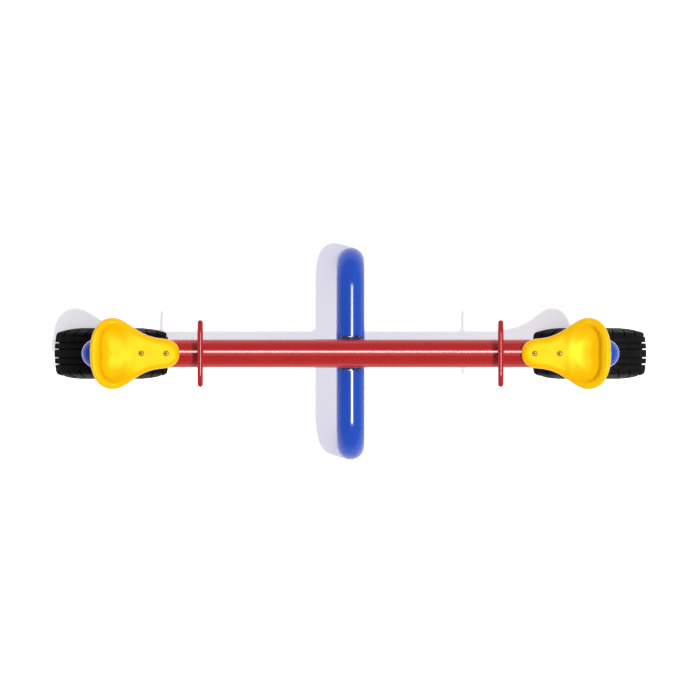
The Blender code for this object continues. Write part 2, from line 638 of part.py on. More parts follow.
def seat_surface(rays_rear=9, rays_front=11, lip_steps=3, step_steps=2, foot_steps=3):
    """The seat's upper face, as rays that run from its outline in to a line along its middle."""
    outline = seat_outline(rays_rear, rays_front)
    outline += [(along, -across) for along, across in reversed(outline[1:-1])]
    data = bmesh.new()
    rays = []
    for along, across in outline:
        foot = SEAT_WIDEST + SPINE_SHARE * max(0.0, along - SEAT_WIDEST)
        room = math.hypot(along - foot, across)
        lip, crest, step, bank = seat_bands(along, room)
        insets = [lip * (1 - math.cos(math.pi / 2 * i / lip_steps)) for i in range(lip_steps)]
        insets += [lip]
        insets += [lip + crest + step * i / step_steps for i in range(step_steps)]
        rest = room - lip - crest - step
        insets += [lip + crest + step + rest * i / foot_steps for i in range(foot_steps + 1)]
        ray = []
        for inset in insets:
            share = inset / room
            place = between(along, foot, share)
            ray.append(data.verts.new((place, across * (1 - share),
                                       seat_height(place, inset, room))))
        rays.append(ray)
    for first, second in zip(rays, rays[1:] + rays[:1]):
        for i in range(len(first) - 1):
            data.faces.new((first[i], first[i + 1], second[i + 1], second[i]))
    bmesh.ops.remove_doubles(data, verts=data.verts, dist=MERGE_DISTANCE)
    bmesh.ops.recalc_face_normals(data, faces=data.faces)
    if sum(face.normal.z for face in data.faces) < 0:
        bmesh.ops.reverse_faces(data, faces=data.faces)
    return data


def seat_frame(side):
    """From a seat's own place, with +X from its rear edge to its nose, to the world."""
    return at(side * SEAT_REAR_X, 0, 0) @ Matrix.Diagonal((-side, -side, 1, 1))


def make_seat(word, side, pivot, finishes):
    place = seat_frame(side)
    seat = finish_object(f"seat_{word}", seat_surface(), finishes["yellow"], pivot, place)
    shell = seat.modifiers.new("shell", "SOLIDIFY")
    shell.thickness = SEAT_SHELL
    shell.offset = -1
    half_step = Matrix.Rotation(math.pi / SMALL_STEPS, 4, "Z")
    for along in SEAT_BOLTS:
        hole = place @ at(along, 0, SEAT_PAD_HEIGHT) @ half_step
        cut_round(seat, BOLT_HOLE, hole, half_length=SEAT_HOLE_REACH, parent=pivot)
    make_bracket(word, place, pivot, finishes)
    for where, along in zip(("rear", "front"), SEAT_BOLTS):
        make_seat_fasteners(f"{word}_{where}", place @ at(along, 0, 0), pivot, finishes)


def make_bracket(word, place, pivot, finishes):
    """An inverted channel, welded along the beam's crest, that the seat is bolted down on."""
    half = BRACKET_HALF_WIDTH
    web = half - BRACKET_WALL
    crest = BEAM_HEIGHT + math.sqrt(BEAM_RADIUS ** 2 - web ** 2) + WELD_GAP
    low = BRACKET_TOP - BRACKET_WALL
    section = [(-half, crest), (-half, BRACKET_TOP), (half, BRACKET_TOP), (half, crest),
               (web, crest), (web, low), (-web, low), (-web, crest)]
    ends = (SEAT_BOLTS[0] - BRACKET_REAR_OVERHANG, SEAT_BOLTS[1] + BRACKET_FRONT_OVERHANG)
    rings = [[Vector((x, y, z)) for y, z in section] for x in ends]
    bracket = finish_object(f"seat_bracket_{word}", loft(rings), finishes["red"], pivot, place)
    for along in SEAT_BOLTS:
        hole = place @ at(along, 0, BRACKET_TOP)
        cut_round(bracket, BOLT_HOLE, hole, half_length=SEAT_HOLE_REACH, parent=pivot)


def make_seat_fasteners(word, place, pivot, finishes):
    """A button-head bolt on a washer above the seat, and a nut under the bracket."""
    washer = ring_solid(BOLT_HOLE, WASHER_RADIUS, WASHER_THICKNESS)
    top = place @ at(0, 0, SEAT_PAD_HEIGHT + WELD_GAP)
    finish_object(f"seat_washer_{word}", washer, finishes["zinc"], pivot, top)
    head = SEAT_PAD_HEIGHT + WASHER_THICKNESS + 2 * WELD_GAP
    nut = BRACKET_TOP - BRACKET_WALL - WELD_GAP - NUT_HEIGHT
    profile = [(BOLT_RADIUS, nut - THREAD_END - head), (BOLT_RADIUS, 0), (BUTTON_RADIUS, 0)]
    for i in range(1, BUTTON_STEPS):
        angle = math.pi / 2 * i / BUTTON_STEPS
        profile.append((between(SOCKET_MOUTH, BUTTON_RADIUS, math.cos(angle)),
                        BUTTON_HEIGHT * math.sin(angle)))
    profile += [(SOCKET_MOUTH, BUTTON_HEIGHT), (SOCKET_RADIUS, BUTTON_HEIGHT),
                (SOCKET_RADIUS, BUTTON_HEIGHT - SOCKET_DEPTH)]
    socket = (len(profile) - 2, len(profile) - 1)
    bolt = turned(profile, hexagonal=socket)
    finish_object(f"seat_bolt_{word}", bolt, finishes["zinc"], pivot, place @ at(0, 0, head))
    finish_object(f"seat_nut_{word}", make_nut(), finishes["zinc"], pivot, place @ at(0, 0, nut))


def tyre_outline():
    """The tyre's section as (radius, across): tread with four grooves, shoulders and sidewalls."""
    tread = []
    for middle in GROOVES:
        edge = GROOVE_WIDTH / 2
        floor = edge - GROOVE_FLANK
        tread += [(middle - edge, 0), (middle - floor, GROOVE_DEPTH),
                  (middle + floor, GROOVE_DEPTH), (middle + edge, 0)]
    tread += [(across, 0) for across in CROWN_POINTS]
    half = [(TYRE_RADIUS - CROWN_DROP * (across / TREAD_HALF_WIDTH) ** 2 - depth, across)
            for across, depth in tread]
    tread_edge = TYRE_RADIUS - CROWN_DROP
    half += [(tread_edge - drop, TREAD_HALF_WIDTH + TYRE_BULGE * share)
             for drop, share in SIDEWALL]
    inner = [(tread_edge - drop, TREAD_HALF_WIDTH + TYRE_BULGE * share - SIDEWALL_THICKNESS)
             for drop, share in INNER_WALL]
    crown = TYRE_RADIUS - TREAD_THICKNESS
    inner += [(crown - INNER_CROWN_DROP, TREAD_HALF_WIDTH - SIDEWALL_THICKNESS),
              (crown, TREAD_HALF_WIDTH * INNER_CROWN_SHARE)]
    mirrored = [(radius, -across) for radius, across in reversed(half)]
    inner_mirrored = [(radius, -across) for radius, across in reversed(inner)]
    return mirrored + half + inner + inner_mirrored


def make_tyre(word, side, finishes):
    """The arch of a tyre that stands out of the ground, hollow as a real tyre is."""
    outline = tyre_outline()
    rings = []
    for step in range(TYRE_STEPS + 1):
        angle = math.pi / 2 - TYRE_SWEEP + 2 * TYRE_SWEEP * step / TYRE_STEPS
        rings.append([Vector((radius * math.cos(angle), across,
                              radius * math.sin(angle) - TYRE_DEPTH))
                      for radius, across in outline])
    tyre = finish_object(f"tyre_{word}", loft(rings), finishes["rubber"],
                         place=at(side * TYRE_X, 0, 0))
    box = bmesh.new()
    bmesh.ops.create_cube(box, size=1.0)
    size = 3 * TYRE_RADIUS
    shape = at(side * TYRE_X, 0, -size / 2) @ Matrix.Diagonal((size, size, size, 1))
    use_boolean(tyre, cutter(box, shape))


def make_materials():
    return {
        "red": make_material("red_powder_coat", (0.47, 0.030, 0.028), 0.32),
        "blue": make_material("blue_powder_coat", (0.028, 0.079, 0.45), 0.32),
        "yellow": make_material("yellow_plastic", (1.0, 0.60, 0.010), 0.38),
        "rubber": make_material("tyre_rubber", (0.010, 0.010, 0.011), 0.75),
        "zinc": make_material("zinc_plated_steel", (0.62, 0.60, 0.55), 0.34, 1.0),
        "steel": make_material("bright_steel", (0.55, 0.55, 0.56), 0.30, 1.0),
        "black": make_material("black_cast_housing", (0.018, 0.018, 0.020), 0.5),
        "nylon": make_material("black_nylon", (0.03, 0.03, 0.032), 0.5),
    }


def main():
    clear_scene()
    finishes = make_materials()
    pivot = bpy.data.objects.new("beam_pivot", None)
    pivot.location = (0, 0, PIVOT_HEIGHT)
    bpy.context.scene.collection.objects.link(pivot)
    make_arch(finishes["blue"])
    for word, side in (("front", -1), ("rear", 1)):
        make_closing_disc(f"leg_closing_disc_{word}", side * LEG_Y, finishes["blue"])
        make_lug(f"pivot_lug_{word}", side, finishes["blue"])
        make_bearing(f"flange_bearing_{word}", side, finishes["black"])
        make_bearing_fasteners(word, side, finishes)
    make_pivot(pivot, finishes)
    make_beam(pivot, finishes)
    for word, side in (("left", -1), ("right", 1)):
        make_handle(word, side, pivot, finishes)
        make_seat(word, side, pivot, finishes)
        make_tyre(word, side, finishes)


main()
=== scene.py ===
import json
from bisect import bisect_right
from math import acos, asin, cos, exp, hypot, pi, radians, sin, sqrt

import bmesh
import bpy
from mathutils import Matrix, Vector


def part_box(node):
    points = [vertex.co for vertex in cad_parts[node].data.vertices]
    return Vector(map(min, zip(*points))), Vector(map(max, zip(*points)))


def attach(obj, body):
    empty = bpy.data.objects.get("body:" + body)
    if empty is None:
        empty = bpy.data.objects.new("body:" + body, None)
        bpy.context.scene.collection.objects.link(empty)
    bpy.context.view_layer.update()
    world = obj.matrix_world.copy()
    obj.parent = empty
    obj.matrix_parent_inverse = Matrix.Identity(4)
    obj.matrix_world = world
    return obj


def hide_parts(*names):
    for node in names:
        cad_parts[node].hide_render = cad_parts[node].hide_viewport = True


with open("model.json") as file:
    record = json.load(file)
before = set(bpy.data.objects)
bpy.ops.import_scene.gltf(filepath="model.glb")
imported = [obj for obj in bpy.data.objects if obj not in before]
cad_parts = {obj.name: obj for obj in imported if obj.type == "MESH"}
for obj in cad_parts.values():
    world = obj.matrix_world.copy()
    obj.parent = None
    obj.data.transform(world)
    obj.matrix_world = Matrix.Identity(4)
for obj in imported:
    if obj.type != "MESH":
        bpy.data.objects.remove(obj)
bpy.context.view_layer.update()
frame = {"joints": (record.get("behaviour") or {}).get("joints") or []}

MM = 0.001
QUARTER = pi / 2
TURN = 2 * pi
SIDES = (("left", -1), ("right", 1))
ENDS = (("front", -1), ("rear", 1))
ROUND = 96  # steps round a wide turned piece
SMALL = 48  # steps round a narrow one
ROUNDED = 60  # degrees up to which the edges of a rounded piece are smooth


# ---- Sizes and places, read from the frame ----

def middle(node):
    low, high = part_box(node)
    return (low + high) / 2


def size(node):
    low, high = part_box(node)
    return high - low


BEAM_RADIUS = size("beam_tube").y / 2
BEAM_HALF = size("beam_tube").x / 2
BEAM_Z = middle("beam_tube").z
PIPE_RADIUS = size("support_arch").x / 2
ARCH_HALF = size("support_arch").y / 2
ARCH_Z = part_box("support_arch")[1].z - PIPE_RADIUS
LEG_Y = ARCH_HALF - PIPE_RADIUS
PIVOT_Z = frame["joints"][0]["pos_m"][2]

# Sizes of the part that its boxes don't show.
BEND_RADIUS = 101.6 * MM
TUBE_WALL = 3.6 * MM
SMALL_TUBE_WALL = 2 * MM
GAP = 0.3 * MM


# ---- Mesh helpers ----

def new_piece(name, data, material, body, nodes, sharp_from=30):
    """Makes a piece from a bmesh, which rides on a body and stands for CAD nodes."""
    bmesh.ops.recalc_face_normals(data, faces=data.faces)
    return piece_as_is(name, data, material, body, nodes, sharp_from)


def piece_as_is(name, data, material, body, nodes, sharp_from):
    mesh = bpy.data.meshes.new(name)
    data.to_mesh(mesh)
    data.free()
    mesh.shade_smooth()
    mesh.set_sharp_from_angle(angle=radians(sharp_from))
    mesh.materials.append(material)
    obj = linked(name, mesh)
    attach(obj, body)
    if nodes:
        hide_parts(*nodes)
    return obj


def linked(name, data):
    obj = bpy.data.objects.new(name, data)
    bpy.context.scene.collection.objects.link(obj)
    return obj


def add_bevel(obj, width, segments=3, angle=35):
    bevel = obj.modifiers.new("edges", "BEVEL")
    bevel.width = width
    bevel.segments = segments
    bevel.limit_method = "ANGLE"
    bevel.angle_limit = radians(angle)


def at(x, y, z):
    return Matrix.Translation((x, y, z))


def facing(side, x, distance, z):
    """A placement whose +Z points away from the middle along Y."""
    return at(x, side * distance, z) @ Matrix.Rotation(-side * QUARTER, 4, "X")


def bridge(data, first, second, closed=True):
    count = len(first)
    for i in range(count if closed else count - 1):
        j = (i + 1) % count
        data.faces.new((first[i], first[j], second[j], second[i]))


def add_rings(data, rings, joined=False):
    """A skin over a row of rings, closed at both ends or joined from the last to the first."""
    loops = [[data.verts.new(point) for point in ring] for ring in rings]
    for first, second in zip(loops, loops[1:]):
        bridge(data, first, second)
    if joined:
        bridge(data, loops[-1], loops[0])
    else:
        data.faces.new(loops[0])
        data.faces.new(loops[-1])


def angles_round(steps):
    return [TURN * step / steps for step in range(steps)]


def circle(radius, height, steps, hexagonal=False):
    points = []
    for angle in angles_round(steps):
        reach = radius / cos(angle % (TURN / 6) - TURN / 12) if hexagonal else radius
        points.append(Vector((reach * cos(angle), reach * sin(angle), height)))
    return points


def turned(profile, steps=SMALL, joined=False, place=None, hexagonal=(), data=None):
    """Turns (radius, height) pairs about Z, then moves them by place."""
    data = data or bmesh.new()
    place = place or Matrix.Identity(4)
    rings = [[place @ point for point in circle(radius, height, steps, index in hexagonal)]
             for index, (radius, height) in enumerate(profile)]
    add_rings(data, rings, joined)
    return data


def arc(centre, radius, start, end, steps, height=None):
    """Points on part of a circle or, with a height of its own, of an ellipse."""
    height = radius if height is None else height
    angles = [start + (end - start) * i / steps for i in range(steps + 1)]
    return [(centre[0] + radius * cos(a), centre[1] + height * sin(a)) for a in angles]


def swept(path, radius, wall, steps):
    """A hollow round tube, open at both ends, along a path that lies square to X."""
    across = Vector((1, 0, 0))
    outer, inner = [], []
    for index, point in enumerate(path):
        along = path[min(index + 1, len(path) - 1)] - path[max(index - 1, 0)]
        up = along.cross(across).normalized()
        for loops, reach in ((outer, radius), (inner, radius - wall)):
            loops.append([point + reach * (cos(a) * across + sin(a) * up)
                          for a in angles_round(steps)])
    data = bmesh.new()
    add_rings(data, outer + inner[::-1], joined=True)
    return data


BEAD_PITCH = 3.2 * MM
RIPPLE_STEPS = 5  # steps along each ripple of a bead
BEAD_STEPS = 10  # steps round it
BEAD_RIPPLE = 0.14  # share of its radius


def weld_bead(data, path, radius, closed=False, pitch=BEAD_PITCH):
    """A rippled weld bead along a list of points."""
    points = resampled(path, pitch / RIPPLE_STEPS, closed)
    count = len(points)
    loops = []
    side = None
    for index, point in enumerate(points):
        before = points[(index - 1) % count] if closed else points[max(index - 1, 0)]
        after = points[(index + 1) % count] if closed else points[min(index + 1, count - 1)]
        along = (after - before).normalized()
        if side is None or abs(along.dot(side)) >= 0.99:
            side = along.orthogonal().normalized()
        else:
            side = (side - along * side.dot(along)).normalized()
        up = along.cross(side)
        wave = 0.5 + 0.5 * cos(TURN * (index % RIPPLE_STEPS) / RIPPLE_STEPS)
        reach = radius * (1 - BEAD_RIPPLE + BEAD_RIPPLE * wave)
        loops.append([data.verts.new(point + reach * (cos(a) * side + sin(a) * up))
                      for a in angles_round(BEAD_STEPS)])
    for first, second in zip(loops, loops[1:]):
        bridge(data, first, second)
    if closed:
        last = loops[-1][0].co
        twist = min(range(BEAD_STEPS), key=lambda k: (loops[0][k].co - last).length)
        bridge(data, loops[-1], loops[0][twist:] + loops[0][:twist])
    else:
        data.faces.new(loops[0])
        data.faces.new(loops[-1])


def resampled(path, step, closed):
    """Evenly spaced points along a path, in whole ripples where it is closed."""
    points = [Vector(p) for p in path]
    if closed:
        points.append(points[0])
    lengths = [(b - a).length for a, b in zip(points, points[1:])]
    total = sum(lengths)
    count = max(8, round(total / step))
    count -= count % RIPPLE_STEPS if closed else 0
    found = []
    index, walked = 0, 0.0
    for i in range(count + (0 if closed else 1)):
        goal = total * i / count
        while index < len(lengths) - 1 and walked + lengths[index] < goal:
            walked += lengths[index]
            index += 1
        share = (goal - walked) / lengths[index] if lengths[index] else 0.0
        found.append(points[index].lerp(points[index + 1], min(max(share, 0.0), 1.0)))
    return found


def smooth(t):
    t = min(max(t, 0.0), 1.0)
    return t * t * (3 - 2 * t)


# ---- Materials ----

class Nodes:
    """A short way to write the nodes of a material or of the world."""

    def __init__(self, owner, shader, place):
        owner.use_nodes = True
        self.owner = owner
        self.tree = owner.node_tree
        self.shader = self.tree.nodes[shader]
        self.place = self.add("ShaderNodeTexCoord").outputs[place]

    def add(self, kind, inputs=None, **settings):
        node = self.tree.nodes.new(kind)
        for key, value in settings.items():
            setattr(node, key, value)
        for key, value in (inputs or {}).items():
            self.set(node, key, value)
        return node

    def set(self, node, key, value):
        if isinstance(value, bpy.types.NodeSocket):
            self.tree.links.new(value, node.inputs[key])
        else:
            node.inputs[key].default_value = value

    def finish(self, inputs):
        """Sets the shader's inputs and returns what the nodes belong to."""
        for key, value in inputs.items():
            self.set(self.shader, key, value)
        return self.owner

    def split(self, axis):
        return self.add("ShaderNodeSeparateXYZ", {"Vector": self.place}).outputs[axis]

    def noise(self, scale, detail, roughness=0.5, stretch=None):
        place = self.place
        if stretch:
            place = self.add("ShaderNodeMapping", {"Vector": place, "Scale": stretch}).outputs[0]
        return self.add("ShaderNodeTexNoise", {"Vector": place, "Scale": scale, "Detail": detail,
                                               "Roughness": roughness}).outputs["Fac"]

    def spread(self, value, low, high, to_low=0.0, to_high=1.0):
        return self.add("ShaderNodeMapRange", {"Value": value, "From Min": low, "From Max": high,
                                               "To Min": to_low, "To Max": to_high}).outputs[0]

    def patches(self, low, high, *noise):
        """A mask made of noise: 0 where it is under the low value, 1 over the high one."""
        return self.spread(self.noise(*noise), low, high)

    def between(self, mask, low, high):
        return self.spread(mask, 0.0, 1.0, low, high)

    def mix(self, mask, first, second, share=1.0):
        """The first colour and, where the mask is 1, this share of the second."""
        factor = self.math("MULTIPLY", mask, share)
        return self.add("ShaderNodeMix", {0: factor, 6: first, 7: second}, data_type="RGBA").outputs[2]

    def math(self, operation, *values):
        node = self.add("ShaderNodeMath", dict(enumerate(values)), operation=operation)
        return node.outputs[0]

    def bump(self, height, strength, distance, **under):
        return self.add("ShaderNodeBump", {"Height": height, "Strength": strength,
                                           "Distance": distance, **under}).outputs["Normal"]


def material_nodes(name):
    return Nodes(bpy.data.materials.new(name), "Principled BSDF", "Object")


def rgb(red, green, blue):
    return (red, green, blue, 1.0)


def powder_coat(name, colour, faded, shadowed):
    """Glossy powder coat: a faint fade in patches, fine specks, and dust that dulls it."""
    n = material_nodes(name)
    body = n.mix(n.patches(0.35, 0.70, 5.0, 4.0), colour, faded, 0.35)
    dust = n.patches(0.40, 0.75, 34.0, 5.0, 0.6)
    return n.finish({
        "Base Color": n.mix(n.patches(0.66, 0.76, 900.0, 2.0), body, shadowed, 0.25),
        "Roughness": n.between(dust, 0.20, 0.22),
        "IOR": 1.40,
        "Specular IOR Level": 0.36,
    })


def moulded_plastic(name, colour, deep, pale):
    """Rotomoulded polyethylene: a satin grain, mottling, scuffs along it and a mould seam."""
    n = material_nodes(name)
    mottle = n.patches(0.35, 0.70, 14.0, 4.0)
    scuffs = n.patches(0.64, 0.74, 1.0, 5.0, 0.65, (60.0, 240.0, 60.0))
    body = n.mix(scuffs, n.mix(mottle, colour, deep, 0.30), pale, 0.15)
    seam = n.spread(n.math("ABSOLUTE", n.split("Y")), 0.0, 2.2 * MM, 1.0, 0.0)
    grain = n.bump(n.noise(1500.0, 2.0), 0.10, 0.3 * MM)
    return n.finish({
        "Base Color": n.mix(seam, body, deep, 0.45),
        "Roughness": n.between(mottle, 0.37, 0.43),
        "Normal": n.bump(seam, 0.30, 0.3 * MM, Normal=grain),
        "Specular IOR Level": 0.30,
        "Specular Tint": rgb(1.0, 0.88, 0.08),
    })


def tyre_rubber(name):
    """Black rubber: matt and pitted, with soil dust low on the tyre and in patches."""
    n = material_nodes(name)
    bloom = n.patches(0.40, 0.75, 22.0, 5.0, 0.6)
    body = n.mix(bloom, rgb(0.0024, 0.0024, 0.0025), rgb(0.0068, 0.0068, 0.0070), 0.5)
    low = n.spread(n.split("Z"), 30 * MM, 0.0)
    soil = n.math("MULTIPLY", low, n.patches(0.35, 0.75, 60.0, 6.0, 0.7))
    pits = n.bump(n.noise(1100.0, 3.0), 0.35, 0.3 * MM)
    wear = n.noise(150.0, 4.0, 0.5, (1.0, 3.0, 1.0))
    return n.finish({
        "Base Color": n.mix(soil, body, rgb(0.050, 0.044, 0.037), 0.25),
        "Roughness": n.between(bloom, 0.48, 0.66),
        "Normal": n.bump(wear, 0.20, 0.4 * MM, Normal=pits),
        "Specular IOR Level": 0.09,
    })


def tarnish(n):
    return n.patches(0.35, 0.72, 160.0, 4.0, 0.6)


def bare_metal(name, colour, dark, roughness):
    """Plated or ground steel: fine streaks and a slow tarnish."""
    n = material_nodes(name)
    lines = n.noise(1.0, 3.0, 0.5, (40.0, 40.0, 900.0))
    return n.finish({
        "Base Color": n.mix(tarnish(n), colour, dark),
        "Metallic": 1.0,
        "Roughness": n.spread(lines, 0.3, 0.7, roughness * 0.8, roughness * 1.3),
        "Normal": n.bump(lines, 0.08, 0.2 * MM),
    })


def zinc_with_painted_shade(name, low, high):
    """Passivated zinc with painted shade low down: near black under the lower of two heights and pale
    above the higher one.
    """
    n = material_nodes(name)
    painted_lit_share = n.spread(n.split("Z"), low, high)
    pale = n.mix(tarnish(n), rgb(0.66, 0.46, 0.12), rgb(0.52, 0.35, 0.07))
    return n.finish({
        # The near-black colour under the lower height is painted shade.
        "Base Color": n.mix(painted_lit_share, rgb(0.035, 0.022, 0.004), pale),
        "Metallic": 1.0,
        "Roughness": n.between(painted_lit_share, 0.80, 0.46),
        "Normal": n.bump(n.noise(900.0, 2.0), 0.10, 0.2 * MM),
    })


def cast_housing(name):
    """Painted cast iron: sand-cast pimples under a black paint."""
    n = material_nodes(name)
    worn = n.patches(0.66, 0.74, 240.0, 5.0, 0.7)
    return n.finish({
        "Base Color": n.mix(worn, rgb(0.008, 0.008, 0.009), rgb(0.045, 0.044, 0.042), 0.5),
        "Roughness": n.between(worn, 0.42, 0.60),
        "Normal": n.bump(n.noise(1400.0, 3.0), 0.30, 0.3 * MM),
        "Specular IOR Level": 0.35,
    })


def nylon(name):
    """Black nylon: a faint cloud and a fine grain."""
    n = material_nodes(name)
    cloud = n.noise(300.0, 3.0)
    return n.finish({
        "Base Color": n.mix(cloud, rgb(0.020, 0.020, 0.022), rgb(0.040, 0.040, 0.042)),
        "Roughness": n.spread(cloud, 0.3, 0.7, 0.42, 0.55),
        "Normal": n.bump(n.noise(2200.0, 2.0), 0.15, 0.2 * MM),
    })


HEAD_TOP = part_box("seat_bolt_left_rear")[1].z
RED = powder_coat("red_coat", rgb(0.320, 0.0100, 0.0110), rgb(0.350, 0.0140, 0.0140),
                  rgb(0.240, 0.0070, 0.0080))
BLUE = powder_coat("blue_coat", rgb(0.0085, 0.0520, 0.370), rgb(0.0115, 0.0640, 0.410),
                   rgb(0.0060, 0.0340, 0.260))
YELLOW = moulded_plastic("yellow_plastic", rgb(0.720, 0.395, 0.0010), rgb(0.690, 0.340, 0.0008),
                         rgb(0.800, 0.490, 0.012))
RUBBER = tyre_rubber("tyre_rubber")
ZINC = bare_metal("zinc_plate", rgb(0.62, 0.45, 0.16), rgb(0.42, 0.29, 0.08), 0.40)
# On the seat bolts the painted shade lies on the head's lower flank and on the socket's floor.
HEAD_ZINC = zinc_with_painted_shade("head_zinc", HEAD_TOP - 3.2 * MM, HEAD_TOP - 1.6 * MM)
DEEP_ZINC = bare_metal("deep_zinc", rgb(0.20, 0.13, 0.012), rgb(0.13, 0.08, 0.008), 0.50)
# Zinc plate coloured near black as painted shade, for the bearing's bolts, nuts and washers under the
# beam.
ZINC_IN_PAINTED_SHADE = bare_metal("zinc_in_painted_shade", rgb(0.045, 0.045, 0.047), rgb(0.022, 0.022, 0.023), 0.45)
STEEL = bare_metal("ground_steel", rgb(0.52, 0.52, 0.53), rgb(0.34, 0.33, 0.32), 0.26)
HOUSING = cast_housing("cast_housing")
NYLON = nylon("black_nylon")
SLOTS = dict.fromkeys((ZINC, HEAD_ZINC, DEEP_ZINC, ZINC_IN_PAINTED_SHADE), "zinc_plate")
SLOTS.update({RED: "red_powder_coat", BLUE: "blue_powder_coat", YELLOW: "yellow_plastic",
              RUBBER: "tyre_rubber", STEEL: "bright_steel", HOUSING: "black_housing",
              NYLON: "black_nylon"})


# ---- Support arch and feet ----

LEG_STRAIGHT = 0.12
BEND_STEPS = 28


def arch_path():
    y = LEG_Y - BEND_RADIUS
    z = ARCH_Z - BEND_RADIUS
    path = [(-LEG_Y, 0), (-LEG_Y, LEG_STRAIGHT)]
    path += arc((-y, z), BEND_RADIUS, pi, QUARTER, BEND_STEPS)
    path += arc((y, z), BEND_RADIUS, QUARTER, 0, BEND_STEPS)
    path += [(LEG_Y, LEG_STRAIGHT), (LEG_Y, 0)]
    return [Vector((0, along, up)) for along, up in path]


def make_arch():
    tube = swept(arch_path(), PIPE_RADIUS, TUBE_WALL, ROUND)
    arch = new_piece("arch_pipe", tube, BLUE, "base", ["support_arch"])
    add_bevel(arch, 0.5 * MM, 2)
    for word, side in ENDS:
        node = f"leg_closing_disc_{word}"
        radius = size(node).x / 2
        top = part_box(node)[1].z
        disc = turned([(radius - MM, 0), (radius, MM), (radius, top - MM), (radius - MM, top)],
                      ROUND, place=at(0, side * LEG_Y, 0))
        new_piece(f"foot_disc_{word}", disc, BLUE, "base", [node])


# ---- Pivot: lugs, bearings, shaft and hub ----

LUG_CORNER = 25 * MM
LUG_BEAD = 2.6 * MM
LUG_BEAD_SHARE = 0.97  # of the cope: the bead stops short of the lug's edges
BOLT_X = middle("bearing_bolt_front_right").x
BOLT_RADIUS = 4.9 * MM
HEX_HALF = 8.5 * MM  # half of the distance across a head's or nut's flats
HEAD_HEIGHT = 6.4 * MM
NUT_BORE = 5.3 * MM
WASHER_OUTER, WASHER_BORE, WASHER_EDGE = 11 * MM, 5.6 * MM, 0.35 * MM
FLANGE_STEPS = 14
RIM_RADIUS = 23.5 * MM
HUB_RADIUS = size("hub_tube").x / 2
SHAFT_RADIUS = size("pivot_shaft").x / 2


def lug_outline():
    """Anticlockwise in XZ: the cope over the bar, the straight flanks and the round shoulders."""
    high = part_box("pivot_lug_rear")[1]
    cope = PIPE_RADIUS + GAP
    foot = asin(high.x / cope)
    x, z = high.x - LUG_CORNER, high.z - LUG_CORNER
    return (arc((0, ARCH_Z), cope, QUARTER + foot, QUARTER - foot, 24)
            + arc((x, z), LUG_CORNER, 0, QUARTER, 14)
            + arc((-x, z), LUG_CORNER, QUARTER, pi, 14))


def make_lugs():
    for word, _ in ENDS:
        node = f"pivot_lug_{word}"
        low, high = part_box(node)
        data = bmesh.new()
        add_rings(data, [[Vector((x, y, z)) for x, z in lug_outline()] for y in (low.y, high.y)])
        lug = new_piece(f"lug_{word}", data, BLUE, "base", [node])
        add_bevel(lug, 1.2 * MM)
        beads = bmesh.new()
        reach = asin(high.x / PIPE_RADIUS) * LUG_BEAD_SHARE
        joint = arc((0, ARCH_Z), PIPE_RADIUS + 0.4 * MM, QUARTER + reach, QUARTER - reach, 30)
        for y in (low.y, high.y):
            weld_bead(beads, [(x, y, z) for x, z in joint], LUG_BEAD)
        new_piece(f"lug_weld_{word}", beads, BLUE, "base", [], ROUNDED)


def flange_outline(half_x, half_z, end):
    """Two round ears joined by a round middle."""
    tilt = acos((half_z - end) / half_x)
    return (arc((half_x, 0), end, -tilt, tilt, FLANGE_STEPS)
            + arc((0, 0), half_z, tilt, pi - tilt, 2 * FLANGE_STEPS)
            + arc((-half_x, 0), end, pi - tilt, pi + tilt, FLANGE_STEPS)
            + arc((0, 0), half_z, pi + tilt, TURN - tilt, 2 * FLANGE_STEPS))


def reach_of(node, side):
    """The nearest and furthest distance of a node from the middle, along Y."""
    low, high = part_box(node)
    return sorted((side * low.y, side * high.y))


def make_bearings():
    """Each flange is a dished casting with a raised rim round the turning ring, and a nipple."""
    for word, side in ENDS:
        node = f"flange_bearing_{word}"
        near, far = reach_of(node, side)
        place = facing(side, 0, near, PIVOT_Z)
        depth = far - near
        flange = depth - 2.5 * MM
        half_z = size(node).z / 2
        end = size(node).x / 2 - BOLT_X
        data = bmesh.new()
        rings = []
        for inset, height in ((0.0, 0.0), (0.0, flange - 0.8 * MM), (0.8 * MM, flange)):
            outline = flange_outline(BOLT_X, half_z - inset, end - inset)
            rings.append([place @ Vector((x, z, height)) for x, z in outline])
        add_rings(data, rings)
        ring = size(f"bearing_inner_ring_{word}").x / 2 + GAP
        rim = [(ring, flange - MM), (RIM_RADIUS, flange - MM), (RIM_RADIUS - MM, flange + 1.6 * MM),
               (RIM_RADIUS - 2.4 * MM, depth), (ring + 2.6 * MM, depth),
               (ring + 1.6 * MM, depth - MM), (ring, depth - MM)]
        turned(rim, ROUND, joined=True, place=place, data=data)
        nipple = place @ at(15 * MM, -17.5 * MM, flange - 0.5 * MM)
        turned([(2.4 * MM, 0), (2.4 * MM, 1.4 * MM), (1.3 * MM, 1.6 * MM), (1.3 * MM, 2.4 * MM),
                (0.7 * MM, 2.9 * MM)], 24, place=nipple, data=data, hexagonal=(0, 1))
        new_piece(f"bearing_flange_{word}", data, HOUSING, "base", [node])
        make_inner_ring(word, side)


def make_inner_ring(word, side):
    node = f"bearing_inner_ring_{word}"
    near, far = reach_of(node, side)
    length = far - near
    outer = size(node).x / 2
    collar = outer - 1.5 * MM
    bore = SHAFT_RADIUS + GAP
    edge = 0.6 * MM
    profile = [(bore, 0), (outer, 0), (outer, length * 0.6), (collar, length * 0.62),
               (collar, length - edge), (collar - edge, length), (bore + edge, length),
               (bore, length - edge)]
    data = turned(profile, ROUND, joined=True, place=facing(side, 0, near, PIVOT_Z))
    new_piece(f"inner_ring_{word}", data, STEEL, "beam", [node])


